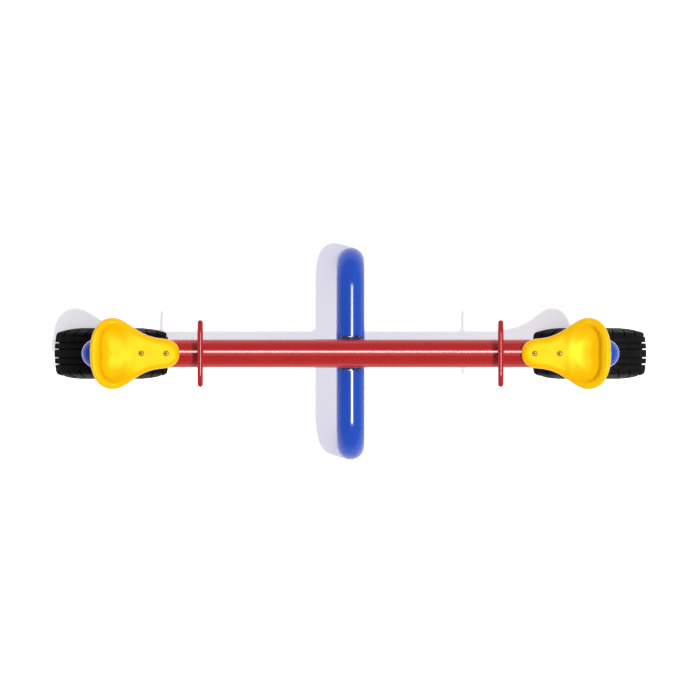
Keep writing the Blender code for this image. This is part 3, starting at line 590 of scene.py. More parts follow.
def make_hex_bolt(name, node, place, length):
    """A washer-faced hex head on a shank that runs down from height 0."""
    face = HEX_HALF * 0.98
    profile = [(BOLT_RADIUS - 0.6 * MM, -length), (BOLT_RADIUS, -length + 0.6 * MM),
               (BOLT_RADIUS, -0.5 * MM), (face, -0.001 * MM), (face, 0.4 * MM),
               (HEX_HALF, 0.45 * MM), (HEX_HALF, HEAD_HEIGHT - 0.9 * MM),
               (HEX_HALF * 0.985, HEAD_HEIGHT - 0.7 * MM), (HEX_HALF * 0.93, HEAD_HEIGHT)]
    # The bearing bolts take the near-black zinc, which is painted shade.
    new_piece(name, turned(profile, place=place, hexagonal=(5, 6)), ZINC_IN_PAINTED_SHADE, "base", [node])


def make_nut(name, node, place, body, height, material):
    shoulder = HEX_HALF * 0.95
    profile = [(NUT_BORE, 0.5 * MM), (NUT_BORE + 0.5 * MM, 0), (shoulder, 0), (HEX_HALF, 0.8 * MM),
               (HEX_HALF, height - 0.8 * MM), (shoulder, height), (NUT_BORE + 0.5 * MM, height),
               (NUT_BORE, height - 0.5 * MM)]
    data = turned(profile, joined=True, place=place, hexagonal=(3, 4))
    new_piece(name, data, material, body, [node])


def make_washer(name, node, place, body, height, material):
    profile = [(WASHER_BORE, WASHER_EDGE), (WASHER_BORE + WASHER_EDGE, 0),
               (WASHER_OUTER - WASHER_EDGE, 0), (WASHER_OUTER, WASHER_EDGE),
               (WASHER_OUTER, height - WASHER_EDGE), (WASHER_OUTER - WASHER_EDGE, height),
               (WASHER_BORE + WASHER_EDGE, height), (WASHER_BORE, height - WASHER_EDGE)]
    new_piece(name, turned(profile, joined=True, place=place), material, body, [node])


def make_bearing_fasteners():
    for word, side in ENDS:
        for end, along in SIDES:
            x = along * BOLT_X
            node = f"bearing_bolt_{word}_{end}"
            near, far = reach_of(node, side)
            under_head = far - HEAD_HEIGHT
            make_hex_bolt(f"flange_bolt_{word}_{end}", node,
                          facing(side, x, under_head, PIVOT_Z), under_head - near)
            for kind, make in (("nut", make_nut), ("washer", make_washer)):
                node = f"bearing_{kind}_{word}_{end}"
                near, far = reach_of(node, side)
                make(f"flange_{kind}_{word}_{end}", node, facing(side, x, near, PIVOT_Z), "base",
                     far - near, ZINC_IN_PAINTED_SHADE)


def make_shaft_and_hub():
    half = size("pivot_shaft").y / 2
    along_y = facing(1, 0, 0, PIVOT_Z)
    r = SHAFT_RADIUS
    chamfer = 1.2 * MM
    centre_hole = [(0.3 * MM, 3 * MM - half), (1.8 * MM, 0.8 * MM - half), (2.4 * MM, -half)]
    profile = centre_hole + [(r - chamfer, -half), (r, chamfer - half), (r, half - chamfer),
                             (r - chamfer, half)]
    profile += [(radius, -height) for radius, height in reversed(centre_hole)]
    shaft = turned(profile, ROUND, place=along_y)
    new_piece("shaft", shaft, STEEL, "beam", ["pivot_shaft"])
    length = size("hub_tube").y / 2
    bore = r + GAP
    edge = 0.8 * MM
    hub = turned([(bore, -length), (HUB_RADIUS - edge, -length), (HUB_RADIUS, edge - length),
                  (HUB_RADIUS, length - edge), (HUB_RADIUS - edge, length), (bore, length)],
                 ROUND, joined=True, place=along_y)
    new_piece("hub", hub, RED, "beam", ["hub_tube"])
    edge = 0.5 * MM
    for word, side in ENDS:
        node = f"thrust_spacer_{word}"
        near, far = reach_of(node, side)
        outer = size(node).x / 2
        wide = far - near
        spacer = turned([(bore, 0), (outer - edge, 0), (outer, edge), (outer, wide - edge),
                         (outer - edge, wide), (bore, wide)],
                        ROUND, joined=True, place=facing(side, 0, near, PIVOT_Z))
        new_piece(f"spacer_{word}", spacer, NYLON, "beam", [node])
        make_gusset(word, side)


GUSSET_FOOT_HALF = 21 * MM
GUSSET_HALF_THICK = 3 * MM
GUSSET_MOUTH_END = QUARTER * 0.93
HUB_BEAD_END = 1.25  # radians, short of the mouth's end
BEAM_BEAD, HUB_BEAD = 2.2 * MM, 1.8 * MM


def make_gusset(word, side):
    """A hub plate, coped round the hub and up to the beam, with a bead along each joint."""
    node = f"hub_gusset_{word}"
    low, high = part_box(node)
    half = high.x
    hub = HUB_RADIUS + GAP
    tilt = asin((PIVOT_Z - low.z) / hub)
    offset = abs(low.y + high.y) / 2
    faces = []
    for distance in (offset - GUSSET_HALF_THICK, offset + GUSSET_HALF_THICK):
        top = BEAM_Z - sqrt((BEAM_RADIUS + GAP) ** 2 - distance ** 2)
        faces.append((side * distance, top))
    mouth = arc((0, PIVOT_Z), hub, -tilt, GUSSET_MOUTH_END, 16)
    joint = arc((0, PIVOT_Z), hub, -tilt * 0.8, HUB_BEAD_END, 20)
    data = bmesh.new()
    for sign in (-1, 1):
        rings = []
        for y, top in faces:
            outline = [(GUSSET_FOOT_HALF, low.z), (half, PIVOT_Z + HUB_RADIUS), (half, top),
                       (mouth[-1][0], top)] + mouth[::-1]
            rings.append([Vector((sign * x, y, z)) for x, z in outline])
        add_rings(data, rings)
    gusset = new_piece(f"gusset_{word}", data, RED, "beam", [node])
    add_bevel(gusset, 0.8 * MM, 2)
    beads = bmesh.new()
    for y, top in faces:
        level = top + 0.2 * MM
        weld_bead(beads, [(2 * MM - half, y, level), (half - 2 * MM, y, level)], BEAM_BEAD)
        for sign in (-1, 1):
            weld_bead(beads, [(sign * x, y, z) for x, z in joint], HUB_BEAD)
    new_piece(f"gusset_weld_{word}", beads, RED, "beam", [], ROUNDED)


# ---- Beam, end caps and handles ----

BEAM_STEPS = 128
CAP_WALL = 4 * MM
CAP_DEPTH = 25 * MM
CAP_STEPS, CAP_INNER_STEPS = 40, 24


def make_beam():
    edge = 0.6 * MM
    inner = BEAM_RADIUS - TUBE_WALL
    profile = [(inner, -BEAM_HALF), (BEAM_RADIUS - edge, -BEAM_HALF), (BEAM_RADIUS, edge - BEAM_HALF),
               (BEAM_RADIUS, BEAM_HALF - edge), (BEAM_RADIUS - edge, BEAM_HALF), (inner, BEAM_HALF)]
    place = at(0, 0, BEAM_Z) @ Matrix.Rotation(QUARTER, 4, "Y")
    tube = turned(profile, BEAM_STEPS, joined=True, place=place)
    new_piece("beam", tube, RED, "beam", ["beam_tube"])
    for word, side in SIDES:
        make_end_cap(word, side, inner - GAP)


def make_end_cap(word, side, plug):
    """A hollow dome on the beam's end, with a plug inside the tube."""
    node = f"beam_end_cap_{word}"
    start = BEAM_HALF + GAP
    height = max(abs(corner.x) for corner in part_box(node)) - start
    profile = [(plug - CAP_WALL, -CAP_DEPTH), (plug - MM, -CAP_DEPTH), (plug, MM - CAP_DEPTH),
               (plug, 0), (BEAM_RADIUS - 0.8 * MM, 0)]
    profile += arc((0, 0), BEAM_RADIUS, 0, QUARTER, CAP_STEPS, height)[1:-1]
    profile += [(0.2 * MM, height), (0.2 * MM, height - CAP_WALL)]
    profile += arc((0, 0), plug - CAP_WALL, QUARTER, 0, CAP_INNER_STEPS, height - CAP_WALL)[1:-1]
    outward = at(side * start, 0, BEAM_Z) @ Matrix.Rotation(side * QUARTER, 4, "Y")
    cap = turned(profile, BEAM_STEPS, joined=True, place=outward)
    new_piece(f"end_cap_{word}", cap, BLUE, "beam", [node])


HANDLE_BEND = radians(26)
HANDLE_BEND_RADIUS = 70 * MM
HANDLE_BEND_STEPS = 12
HANDLE_TAIL = 12 * MM
DOME_BEAD, DOME_BEAD_PITCH = 0.75 * MM, 2 * MM
STEM_BEAD = 1.9 * MM


def make_handles():
    """Each bar is one tube with its ends bent down and closed by welded domes."""
    for word, _ in SIDES:
        bar = f"handle_bar_{word}"
        caps = [f"handle_cap_{word}_{end}" for end, _ in ENDS]
        radius = size(bar).x / 2
        x = middle(bar).x
        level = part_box(bar)[1].z - radius
        reach = HANDLE_BEND_RADIUS * sin(HANDLE_BEND) + HANDLE_TAIL * cos(HANDLE_BEND)
        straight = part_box(caps[1])[1].y - radius - reach
        bend = arc((-straight, level - HANDLE_BEND_RADIUS), HANDLE_BEND_RADIUS,
                   QUARTER + HANDLE_BEND, QUARTER, HANDLE_BEND_STEPS)
        half = [Vector((x, y, z)) for y, z in bend]
        tail = Vector((0, -cos(HANDLE_BEND), -sin(HANDLE_BEND)))
        half.insert(0, half[0] + HANDLE_TAIL * tail)
        path = half + [Vector((x, -p.y, p.z)) for p in reversed(half)]
        tube = swept(path, radius, SMALL_TUBE_WALL, SMALL)
        new_piece(f"handle_{word}", tube, RED, "beam", [bar])
        for (end_word, end), node in zip(ENDS, caps):
            make_handle_cap(f"handle_dome_{word}_{end_word}", node, path[0], end, radius)
        make_stem(word, x, level, radius)


def make_handle_cap(name, node, tip, end, radius):
    place = at(tip.x, end * abs(tip.y), tip.z)
    place = place @ Matrix.Rotation(-end * (QUARTER + HANDLE_BEND), 4, "X")
    plug = radius - SMALL_TUBE_WALL - GAP
    profile = [(plug, -8 * MM), (plug, GAP)] + arc((0, GAP), radius, 0, QUARTER, 12)[:-1]
    data = turned(profile, place=place)
    bead = [place @ p for p in circle(radius - 0.5 * MM, GAP / 2, 60)]
    weld_bead(data, bead, DOME_BEAD, closed=True, pitch=DOME_BEAD_PITCH)
    new_piece(name, data, RED, "beam", [node], ROUNDED)


def make_stem(word, x, level, bar_radius):
    """A post coped down on the beam and up to the bar, with a bead at its foot."""
    node = f"handle_stem_{word}"
    foot, head = [], []
    for point in circle(size(node).x / 2, 0, SMALL):
        rise = sqrt((BEAM_RADIUS + GAP) ** 2 - point.y ** 2)
        dip = sqrt(max(0.0, (bar_radius + GAP) ** 2 - point.x ** 2))
        foot.append(Vector((x + point.x, point.y, BEAM_Z + rise)))
        head.append(Vector((x + point.x, point.y, level - dip)))
    data = bmesh.new()
    add_rings(data, [foot, [f.lerp(h, 0.5) for f, h in zip(foot, head)], head])
    new_piece(f"stem_{word}", data, RED, "beam", [node], 50)
    beads = bmesh.new()
    weld_bead(beads, foot, STEM_BEAD, closed=True)
    new_piece(f"stem_weld_{word}", beads, RED, "beam", [], ROUNDED)


# ---- Seats, brackets and their fasteners ----

SEAT_LENGTH = size("seat_left").x
SEAT_HALF_WIDTH = size("seat_left").y / 2
SEAT_REAR_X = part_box("seat_right")[1].x
PAD_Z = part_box("seat_washer_right_rear")[0].z - GAP
SEAT_WIDEST = 94.5 * MM
SEAT_POWER = 2.3
NOSE_HALF = 58 * MM
HIP_SPREAD = 105 * MM
NOSE_ROUNDING = 70 * MM
SEAT_SHELL = 5 * MM
REAR_RIM = 58 * MM
SIDE_RIM = 34 * MM
RIM_END = 193 * MM
DISH_DEPTH = 6 * MM
DISH_START, DISH_END = 110 * MM, RIM_END - 18 * MM
SPOON_END, SPOON_RISE = 140 * MM, 20 * MM
REAR_LIP, HIP_LIP = 21 * MM, 29 * MM
REAR_DROP, HIP_DROP = 26 * MM, 23 * MM
LIP_POWER = 2.6
REAR_CREST, SIDE_CREST = 21 * MM, 2 * MM
CREST_FALL_SHARE = 0.035
REAR_BANK, SIDE_BANK = 56 * MM, 80 * MM
STEP_WIDTH = 22 * MM
STEP_SHARE = 0.55
STEP_FADE_START, STEP_FADE = 50 * MM, 70 * MM
OUTLINE_REAR_STEPS, OUTLINE_FRONT_STEPS = 44, 60
LIP_STEPS, CREST_STEPS, STEP_STEPS, FOOT_STEPS = 12, 5, 12, 20
FOOT_SHARE = 0.80  # each ray ends this share of the way from the widest place to its start
SMOOTH_BELOW, SMOOTH_PASSES = 12 * MM, 4
BRACKET_WALL, BRACKET_BEND = 5 * MM, 4 * MM
BRACKET_BEAD = 2.6 * MM
BOLT_DOME, SOCKET_MOUTH, SOCKET_HALF = 5.5 * MM, 4.2 * MM, 3.5 * MM


def between(first, second, share):
    return first + (second - first) * share


def hip_share(along):
    return smooth((along - SEAT_WIDEST) / (RIM_END - SEAT_WIDEST))


def seat_half_width(along):
    if along <= SEAT_WIDEST:
        share = 1 - along / SEAT_WIDEST
        return SEAT_HALF_WIDTH * (1 - share ** SEAT_POWER) ** (1 / SEAT_POWER)
    beyond = (along - SEAT_WIDEST) / HIP_SPREAD
    width = NOSE_HALF + (SEAT_HALF_WIDTH - NOSE_HALF) * exp(-beyond * beyond)
    rounding = max(0.0, (along - SEAT_LENGTH + NOSE_ROUNDING) / NOSE_ROUNDING)
    return width * max(0.0, 1 - rounding ** SEAT_POWER) ** (1 / SEAT_POWER)


def seat_rim(along):
    if along < SEAT_WIDEST:
        return between(REAR_RIM, SIDE_RIM, smooth(along / SEAT_WIDEST))
    return SIDE_RIM * (1 - hip_share(along))


def seat_bands(along, room):
    """Widths of the lip, the crest, the step and the whole bank on a ray with this much room."""
    side = smooth(along / SEAT_WIDEST)
    lip = min(between(REAR_LIP, HIP_LIP, hip_share(along)), room * 0.5)
    crest = between(REAR_CREST, SIDE_CREST, side)
    bank = min(between(REAR_BANK, SIDE_BANK, side), room - lip - crest)
    return lip, crest, min(STEP_WIDTH, bank), bank


def seat_height(along, inset, room):
    """A rounded lip, a nearly level crest, a steep step and a gentle foot down to the dish."""
    lip, crest, step, bank = seat_bands(along, room)
    dish = PAD_Z - DISH_DEPTH * (1 - smooth((along - DISH_START) / (DISH_END - DISH_START)))
    rim = seat_rim(along)
    if inset < lip:
        drop = between(REAR_DROP, HIP_DROP, hip_share(along))
        share = (lip - inset) / lip
        return dish + rim - drop * (1 - max(0.0, 1 - share ** LIP_POWER) ** (1 / LIP_POWER))
    beyond = inset - lip
    fall = CREST_FALL_SHARE * rim
    if beyond < crest:
        return dish + rim - fall * (beyond / crest) ** 2
    floor = dish + SPOON_RISE * max(0.0, 1 - along / SPOON_END) ** 2 * rim / REAR_RIM
    foot = (1 - min((beyond - crest) / bank, 1.0)) ** 2
    stepped = STEP_SHARE * (1 - smooth((along - STEP_FADE_START) / STEP_FADE))
    kept = between(foot, 1 - smooth((beyond - crest) / step), stepped)
    return between(floor, dish + rim - fall, kept)


def seat_outline():
    """One half of the outline, as (along, across), from the middle of the rear to the nose."""
    power = 2 / SEAT_POWER
    quarter = arc((0, 0), 1, 0, QUARTER, OUTLINE_REAR_STEPS)[:-1]
    points = [(SEAT_WIDEST * (1 - c ** power), SEAT_HALF_WIDTH * s ** power) for c, s in quarter]
    for i in range(OUTLINE_FRONT_STEPS + 1):
        share = i / OUTLINE_FRONT_STEPS
        # Closer together towards the nose, where the outline turns.
        along = between(SEAT_WIDEST, SEAT_LENGTH, between(sin(QUARTER * share), share, 0.35))
        points.append((along, seat_half_width(along)))
    return points


def seat_insets(along, room):
    """Distances from the outline, closest together on the lip and at the top of the bank."""
    lip, crest, step, _ = seat_bands(along, room)
    inner = lip + crest + step
    insets = [lip * (1 - cos(QUARTER * i / LIP_STEPS)) for i in range(LIP_STEPS)]
    insets += [lip + crest * i / CREST_STEPS for i in range(CREST_STEPS)]
    insets += [lip + crest + step * i / STEP_STEPS for i in range(STEP_STEPS)]
    return insets + [between(inner, room, i / FOOT_STEPS) for i in range(FOOT_STEPS + 1)]


def seat_data(place):
    """The seat's top skin, made of rays from the outline to its long middle."""
    outline = seat_outline()
    outline += [(along, -across) for along, across in reversed(outline[1:-1])]
    data = bmesh.new()
    rays = []
    for along, across in outline:
        foot = SEAT_WIDEST + FOOT_SHARE * max(0.0, along - SEAT_WIDEST)
        room = hypot(along - foot, across)
        ray = []
        for inset in seat_insets(along, room):
            share = inset / room
            spot = between(along, foot, share)
            point = Vector((spot, across * (1 - share), seat_height(spot, inset, room)))
            ray.append(data.verts.new(place @ point))
        rays.append(ray)
    for first, second in zip(rays, rays[1:] + rays[:1]):
        bridge(data, first, second, closed=False)
    bmesh.ops.remove_doubles(data, verts=data.verts, dist=MM / 1000)
    inner = [v for v in data.verts if v.co.z < PAD_Z + SMOOTH_BELOW and not v.is_boundary]
    for _ in range(SMOOTH_PASSES):
        bmesh.ops.smooth_vert(data, verts=inner, factor=0.5, use_axis_z=True)
    bmesh.ops.recalc_face_normals(data, faces=data.faces)
    if sum(face.normal.z for face in data.faces) < 0:
        bmesh.ops.reverse_faces(data, faces=data.faces)
    return data


def make_seats():
    for word, side in SIDES:
        place = at(side * SEAT_REAR_X, 0, 0) @ Matrix.Diagonal((-side, -side, 1, 1))
        data = seat_data(place)
        seat = piece_as_is(f"saddle_{word}", data, YELLOW, "beam", [f"seat_{word}"], ROUNDED)
        shell = seat.modifiers.new("shell", "SOLIDIFY")
        shell.thickness = SEAT_SHELL
        shell.offset = -1
        add_bevel(seat, 1.3 * MM, 3, 50)
        make_bracket(word)
        for where in ("rear", "front"):
            make_seat_fasteners(f"{word}_{where}")


def make_bracket(word):
    """A channel with bent shoulders, open towards the beam that it stands on."""
    low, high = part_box(f"seat_bracket_{word}")
    half = high.y
    inside, top = half - BRACKET_WALL, high.z - BRACKET_WALL
    foot = BEAM_Z + sqrt(BEAM_RADIUS ** 2 - inside ** 2) + 2 * GAP
    bend = arc((half - BRACKET_BEND, high.z - BRACKET_BEND), BRACKET_BEND, 0, QUARTER, 6)
    section = [(half, foot)] + bend + [(-y, z) for y, z in reversed(bend)]
    section += [(-half, foot), (-inside, foot), (-inside, top), (inside, top), (inside, foot)]
    data = bmesh.new()
    add_rings(data, [[Vector((x, y, z)) for y, z in section] for x in (low.x, high.x)])
    bracket = new_piece(f"bracket_{word}", data, RED, "beam", [f"seat_bracket_{word}"])
    add_bevel(bracket, 0.7 * MM, 2)
    beads = bmesh.new()
    level = BEAM_Z + sqrt(BEAM_RADIUS ** 2 - half ** 2) + MM
    for y in (-half, half):
        ends = [(low.x + 2 * MM, y, level), (high.x - 2 * MM, y, level)]
        weld_bead(beads, ends, BRACKET_BEAD)
    new_piece(f"bracket_weld_{word}", beads, RED, "beam", [], ROUNDED)


def make_seat_fasteners(word):
    """A domed bolt with a hexagon socket on a washer, and a nut under the bracket."""
    x = middle(f"seat_washer_{word}").x

    def standing(kind, make, material):
        node = f"seat_{kind}_{word}"
        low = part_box(node)[0].z
        make(f"saddle_{kind}_{word}", node, at(x, 0, low), "beam", size(node).z, material)

    standing("washer", make_washer, DEEP_ZINC)
    bolt = f"seat_bolt_{word}"
    radius = size(bolt).x / 2
    dome, edge = BOLT_DOME, 0.5 * MM
    end = dome - size(bolt).z
    profile = [(BOLT_RADIUS - edge, end), (BOLT_RADIUS, end + 0.6 * MM), (BOLT_RADIUS, -0.2 * MM),
               (radius - edge, 0), (radius, edge)]
    profile += arc((SOCKET_MOUTH, edge), radius - SOCKET_MOUTH, 0, QUARTER, 10, dome - edge)[1:-1]
    profile += [(SOCKET_MOUTH, dome), (SOCKET_HALF, dome - 0.35 * MM), (SOCKET_HALF, dome - 3 * MM),
                (0.4 * MM, dome - 3.6 * MM)]
    socket = (len(profile) - 3, len(profile) - 2)
    data = turned(profile, place=at(x, 0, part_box(bolt)[1].z - dome), hexagonal=socket)
    new_piece(f"saddle_bolt_{word}", data, HEAD_ZINC, "beam", [bolt])
    standing("nut", make_nut, ZINC)


# ---- Tyres ----

TYRE_X = middle("tyre_right").x
TYRE_RADIUS = 324.15 * MM  # keeps the tyre's ends at the ground inside the CAD's
TYRE_AXIS_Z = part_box("tyre_right")[1].z - TYRE_RADIUS
TREAD_DEPTH = 10.5 * MM
BLOCK_DEPTH = TREAD_DEPTH + MM
BLOCK_EASE = 1.1 * MM
BLOCK_PITCH = radians(9)
BLOCKS_EACH_WAY = 6
CENTRE_RIB_HALF = 12.5 * MM
SIDE_RIBS = ((19.5 * MM, 38.0 * MM, 0.25), (45.0 * MM, 66.0 * MM, 0.0))  # from, to, shift
SIPE, SIPE_SLANT = 0.8 * MM, 0.030
SHOULDER_START, SHOULDER_END = 66.8 * MM, 97 * MM
SHOULDER_GAP, SHOULDER_SLANT = 6.0 * MM, 0.040
RING_START = 101.5 * MM
RINGS = ((6 * MM, 2.2 * MM, 0.9 * MM), (22 * MM, 1.4 * MM, 0.6 * MM))  # place, width, height
CARCASS_REACH, CARCASS_STEPS = radians(50), 110
OUTER_STEPS, INNER_STEPS = 150, 40
TREAD_REACH = radians(52)
# The outer section as (across, radius) in mm, from the crown to the bead.
TYRE_SECTION = ((0, 324), (30, 323.3), (60, 321.2), (73, 319.6), (81, 317.0), (86.5, 310.5),
                (90.5, 301), (95, 290), (99, 279), (101.6, 266), (102.4, 254), (101.4, 240),
                (99, 224), (96, 212))


def section_curve(per_span=12):
    """The tyre's outer section as a smooth curve through its points."""
    points = [Vector((across * MM, radius * MM)) for across, radius in TYRE_SECTION]
    points = [Vector((-points[1].x, points[1].y))] + points + [2 * points[-1] - points[-2]]
    curve = []
    for i in range(1, len(points) - 2):
        before, start, end, after = points[i - 1:i + 3]
        for step in range(per_span):
            t = step / per_span
            curve.append(0.5 * (2 * start + (end - before) * t
                                + (2 * before - 5 * start + 4 * end - after) * t * t
                                + (3 * start - before - 3 * end + after) * t ** 3))
    return curve + [points[-2]]


CURVE = section_curve()
WALKED = [0.0]
for first_point, second_point in zip(CURVE, CURVE[1:]):
    WALKED.append(WALKED[-1] + (second_point - first_point).length)


def section_point(walk):
    """Point and outward normal of the tyre's section at a distance along it from the crown."""
    side = -1 if walk < 0 else 1
    walk = min(abs(walk), WALKED[-1] - 1e-6)
    low = bisect_right(WALKED, walk) - 1
    share = (walk - WALKED[low]) / (WALKED[low + 1] - WALKED[low])
    point = CURVE[low].lerp(CURVE[low + 1], share)
    along = (CURVE[min(low + 3, len(CURVE) - 1)] - CURVE[max(low - 2, 0)]).normalized()
    normal = Vector((-along.y, along.x))
    if normal.y < 0 and normal.x < 0:
        normal = -normal
    return Vector((side * point.x, point.y)), Vector((side * normal.x, normal.y))


def walk_of(across):
    """The distance along the section at which it is this far from the tyre's middle plane."""
    for point, walk in zip(CURVE, WALKED):
        if point.x >= across:
            return walk
    return WALKED[-1]


def tyre_point(walk, angle, depth):
    point, normal = section_point(walk)
    across = point.x - normal.x * depth
    radius = point.y - normal.y * depth
    return Vector((radius * sin(angle), across, radius * cos(angle) + TYRE_AXIS_Z))


def add_block(data, walks, angles, slant, cells):
    """A tread block on the tyre: a raised patch with sloped flanks and eased edges."""
    nu, nv = cells

    def corner(i, j, inset, depth):
        u, v = i / nu, j / nv
        walk = between(*walks, u) + (inset * (1 - 2 * u) if i in (0, nu) else 0.0)
        angle = between(*angles, v) + slant * (u - 0.5)
        angle += inset / TYRE_RADIUS * (1 - 2 * v) if j in (0, nv) else 0.0
        return data.verts.new(tyre_point(walk, angle, depth))

    grid = [[corner(i, j, BLOCK_EASE, 0.0) for j in range(nv + 1)] for i in range(nu + 1)]
    for first, second in zip(grid, grid[1:]):
        bridge(data, first, second, closed=False)
    edge = [(i, 0) for i in range(nu)] + [(nu, j) for j in range(nv)]
    edge += [(i, nv) for i in range(nu, 0, -1)] + [(0, j) for j in range(nv, 0, -1)]
    above = [grid[i][j] for i, j in edge]
    for inset, depth in ((0.3 * BLOCK_EASE, 0.35 * MM), (0.0, 1.3 * MM),
                         (-0.5 * BLOCK_EASE, BLOCK_DEPTH)):
        below = [corner(i, j, inset, depth) for i, j in edge]
        bridge(data, above, below)
        above = below
    data.faces.new(above)


def carcass_depth(walk):
    """How far the grooves' floor lies under the tread: nothing beyond the shoulder blocks."""
    end = walk_of(SHOULDER_END)
    return TREAD_DEPTH * (1 - smooth((abs(walk) - end + 12 * MM) / (9 * MM)))


def sidewall_rings(walk):
    start = walk_of(RING_START)
    return sum(high * exp(-((abs(walk) - start - place) / wide) ** 2)
               for place, wide, high in RINGS)


def inner_depth(walk):
    """The wall is 9.5 mm thick at the sides and 15.5 mm under the tread."""
    return 9.5 * MM + 6 * MM * (1 - smooth((abs(walk) - 70 * MM) / (30 * MM)))


def add_carcass(data):
    end = WALKED[-1]
    outer = [between(-end, end, i / OUTER_STEPS) for i in range(OUTER_STEPS + 1)]
    inner = [between(end, -end, i / INNER_STEPS) for i in range(INNER_STEPS + 1)]
    rings = []
    for step in range(CARCASS_STEPS + 1):
        angle = between(-CARCASS_REACH, CARCASS_REACH, step / CARCASS_STEPS)
        ring = [tyre_point(w, angle, carcass_depth(w) - sidewall_rings(w) + 0.6 * MM)
                for w in outer]
        rings.append(ring + [tyre_point(w, angle, inner_depth(w)) for w in inner])
    add_rings(data, rings)


def add_tread(data):
    """A plain centre rib, two ribs a side cut by fine sipes, and shoulder blocks that wrap over."""
    centre = walk_of(CENTRE_RIB_HALF)
    add_block(data, (-centre, centre), (-TREAD_REACH, TREAD_REACH), 0.0, (3, 110))
    for side in (-1, 1):
        rows = [(low, high, shift, SIPE, SIPE_SLANT, (3, 6)) for low, high, shift in SIDE_RIBS]
        rows.append((SHOULDER_START, SHOULDER_END, 0.0 if side > 0 else 0.5, SHOULDER_GAP,
                     SHOULDER_SLANT, (10, 6)))
        for low, high, shift, gap, slant, cells in rows:
            walks = sorted((side * walk_of(low), side * walk_of(high)))
            half_gap = gap / TYRE_RADIUS / 2
            for k in range(-BLOCKS_EACH_WAY, BLOCKS_EACH_WAY + 1):
                start = (k + shift) * BLOCK_PITCH
                angles = (start + half_gap, start + BLOCK_PITCH - half_gap)
                add_block(data, walks, angles, side * slant, cells)


def cut_at_ground(data):
    geometry = data.verts[:] + data.edges[:] + data.faces[:]
    cut = bmesh.ops.bisect_plane(data, geom=geometry, dist=1e-7, plane_co=(0, 0, 0),
                                 plane_no=(0, 0, -1), clear_outer=True)
    edges = [e for e in cut["geom_cut"] if isinstance(e, bmesh.types.BMEdge)]
    bmesh.ops.triangle_fill(data, use_beauty=True, use_dissolve=False, edges=edges)


def make_tyres():
    for word, side in SIDES:
        for name, add, nodes, sharp_from in (("carcass", add_carcass, [f"tyre_{word}"], 40),
                                             ("tread", add_tread, [], 28)):
            data = bmesh.new()
            add(data)
            cut_at_ground(data)
            bmesh.ops.translate(data, verts=data.verts, vec=(side * TYRE_X, 0, 0))
            new_piece(f"{name}_{word}", data, RUBBER, "base", nodes, sharp_from)


# ---- Stage: floor, lights, camera ----

VIEW_WIDTH = 2.8154
VIEW_FROM = (-0.0020, 0.0140, 20.0)
VIEW_DEPTH = 90
FLOOR_HALF = 40
FLOOR_DROP = 0.5 * MM
KEY_FROM = Vector((0.226, -0.0663, 1.0))
KEY_POWER = 3.20
KEY_ANGLE = radians(1.9)
BOX_X, BOX_HEIGHT = 1.65, 4.0
BOX_LENGTH, BOX_WIDTH = 1.1, 1.8
BOX_RADIANCE = 42.0
WORLD_AT_HORIZON, WORLD_OVERHEAD = 0.85, 0.34
WORLD_SEEN_MORE = 2.0  # added where the camera sees it


def make_floor():
    data = bmesh.new()
    bmesh.ops.create_grid(data, x_segments=1, y_segments=1, size=FLOOR_HALF)
    mesh = bpy.data.meshes.new("floor")
    data.to_mesh(mesh)
    data.free()
    mesh.materials.append(material_nodes("floor").finish({
        "Base Color": rgb(0.92, 0.92, 0.92),
        "Roughness": 1.0,
        "Specular IOR Level": 0.0,
        "Emission Color": rgb(0.365, 0.370, 0.385),
        "Emission Strength": 1.0,
    }))
    floor = linked("floor", mesh)
    floor.location.z = -FLOOR_DROP


def add_light(name, kind, energy, colour, place, **settings):
    data = bpy.data.lights.new(name, kind)
    data.energy = energy
    data.color = colour
    for key, value in settings.items():
        setattr(data, key, value)
    light = linked(name, data)
    light.location = place
    return light


def turn_to(light, direction):
    """Turns a distant light to shine from this direction."""
    light.rotation_euler = Vector(direction).to_track_quat("Z", "Y").to_euler()


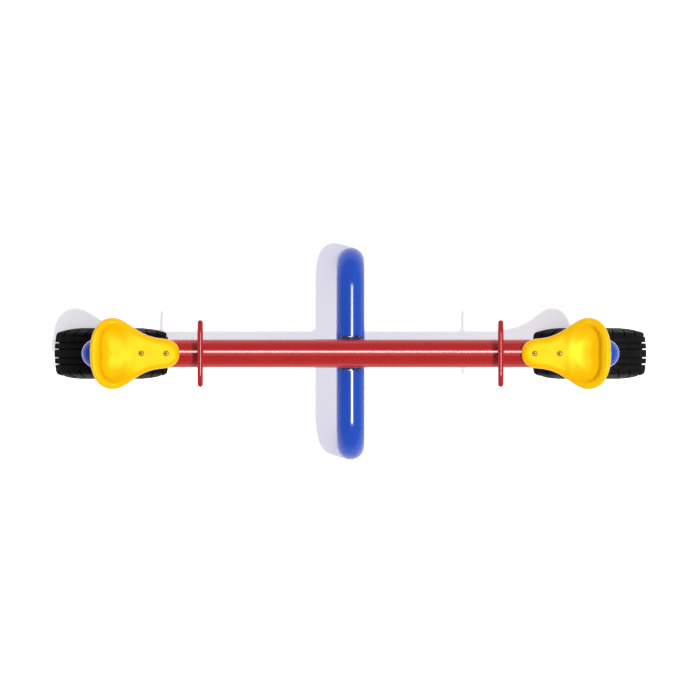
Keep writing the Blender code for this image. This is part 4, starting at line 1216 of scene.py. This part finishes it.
def add_gloss(name, kind, energy, colour, place, piece, **settings):
    """A light that only shows as a reflection, and only in one piece."""
    light = add_light(name, kind, energy, colour, place, **settings)
    light.visible_diffuse = False
    light.visible_camera = False
    receivers = bpy.data.collections.new(f"{name}_receivers")
    receivers.objects.link(bpy.data.objects[piece])
    light.light_linking.receiver_collection = receivers
    return light


def add_line(name, direction, angle, radiance, colour, piece):
    """A distant round light, which draws one bright line along a round pipe."""
    energy = radiance * pi * sin(angle / 2) ** 2
    turn_to(add_gloss(name, "SUN", energy, colour, direction, piece, angle=angle), direction)


def add_box(name, centre, length, width, radiance, piece):
    """A soft box that faces down."""
    energy = radiance * pi * length * width
    add_gloss(name, "AREA", energy, (1, 1, 1), centre, piece, shape="RECTANGLE", size=length,
              size_y=width)


def make_lights():
    turn_to(add_light("key", "SUN", KEY_POWER, (1.0, 0.985, 0.93), KEY_FROM, angle=KEY_ANGLE),
            KEY_FROM)
    add_line("beam_line", (0, 0.26, 1), radians(10), 95.0, (1, 0.96, 0.95), "beam")
    add_line("arch_line", (0.21, 0, 1), radians(12), 42.0, (0.78, 0.92, 1), "arch_pipe")
    for word, side in SIDES:
        add_box(f"box_{word}", (side * BOX_X, 0, BOX_HEIGHT), BOX_LENGTH, BOX_WIDTH, BOX_RADIANCE,
                f"saddle_{word}")


def make_world():
    """Brighter low down than overhead, and white where the camera sees past the floor."""
    world = bpy.data.worlds.new("studio")
    bpy.context.scene.world = world
    n = Nodes(world, "Background", "Generated")
    lit = n.between(n.split("Z"), WORLD_AT_HORIZON, WORLD_OVERHEAD)
    seen = n.add("ShaderNodeLightPath").outputs["Is Camera Ray"]
    n.finish({
        "Color": rgb(0.93, 0.91, 1.0),
        "Strength": n.math("MULTIPLY_ADD", seen, WORLD_SEEN_MORE, lit),
    })


def make_camera():
    data = bpy.data.cameras.new("camera")
    data.type = "ORTHO"
    data.ortho_scale = VIEW_WIDTH
    data.clip_end = VIEW_DEPTH
    camera = linked("camera", data)
    camera.location = VIEW_FROM
    bpy.context.scene.camera = camera
    bpy.context.scene.view_settings.view_transform = "Standard"


make_camera()
make_floor()
make_arch()
make_lugs()
make_bearings()
make_bearing_fasteners()
make_shaft_and_hub()
make_beam()
make_handles()
make_seats()
make_tyres()
make_lights()
make_world()
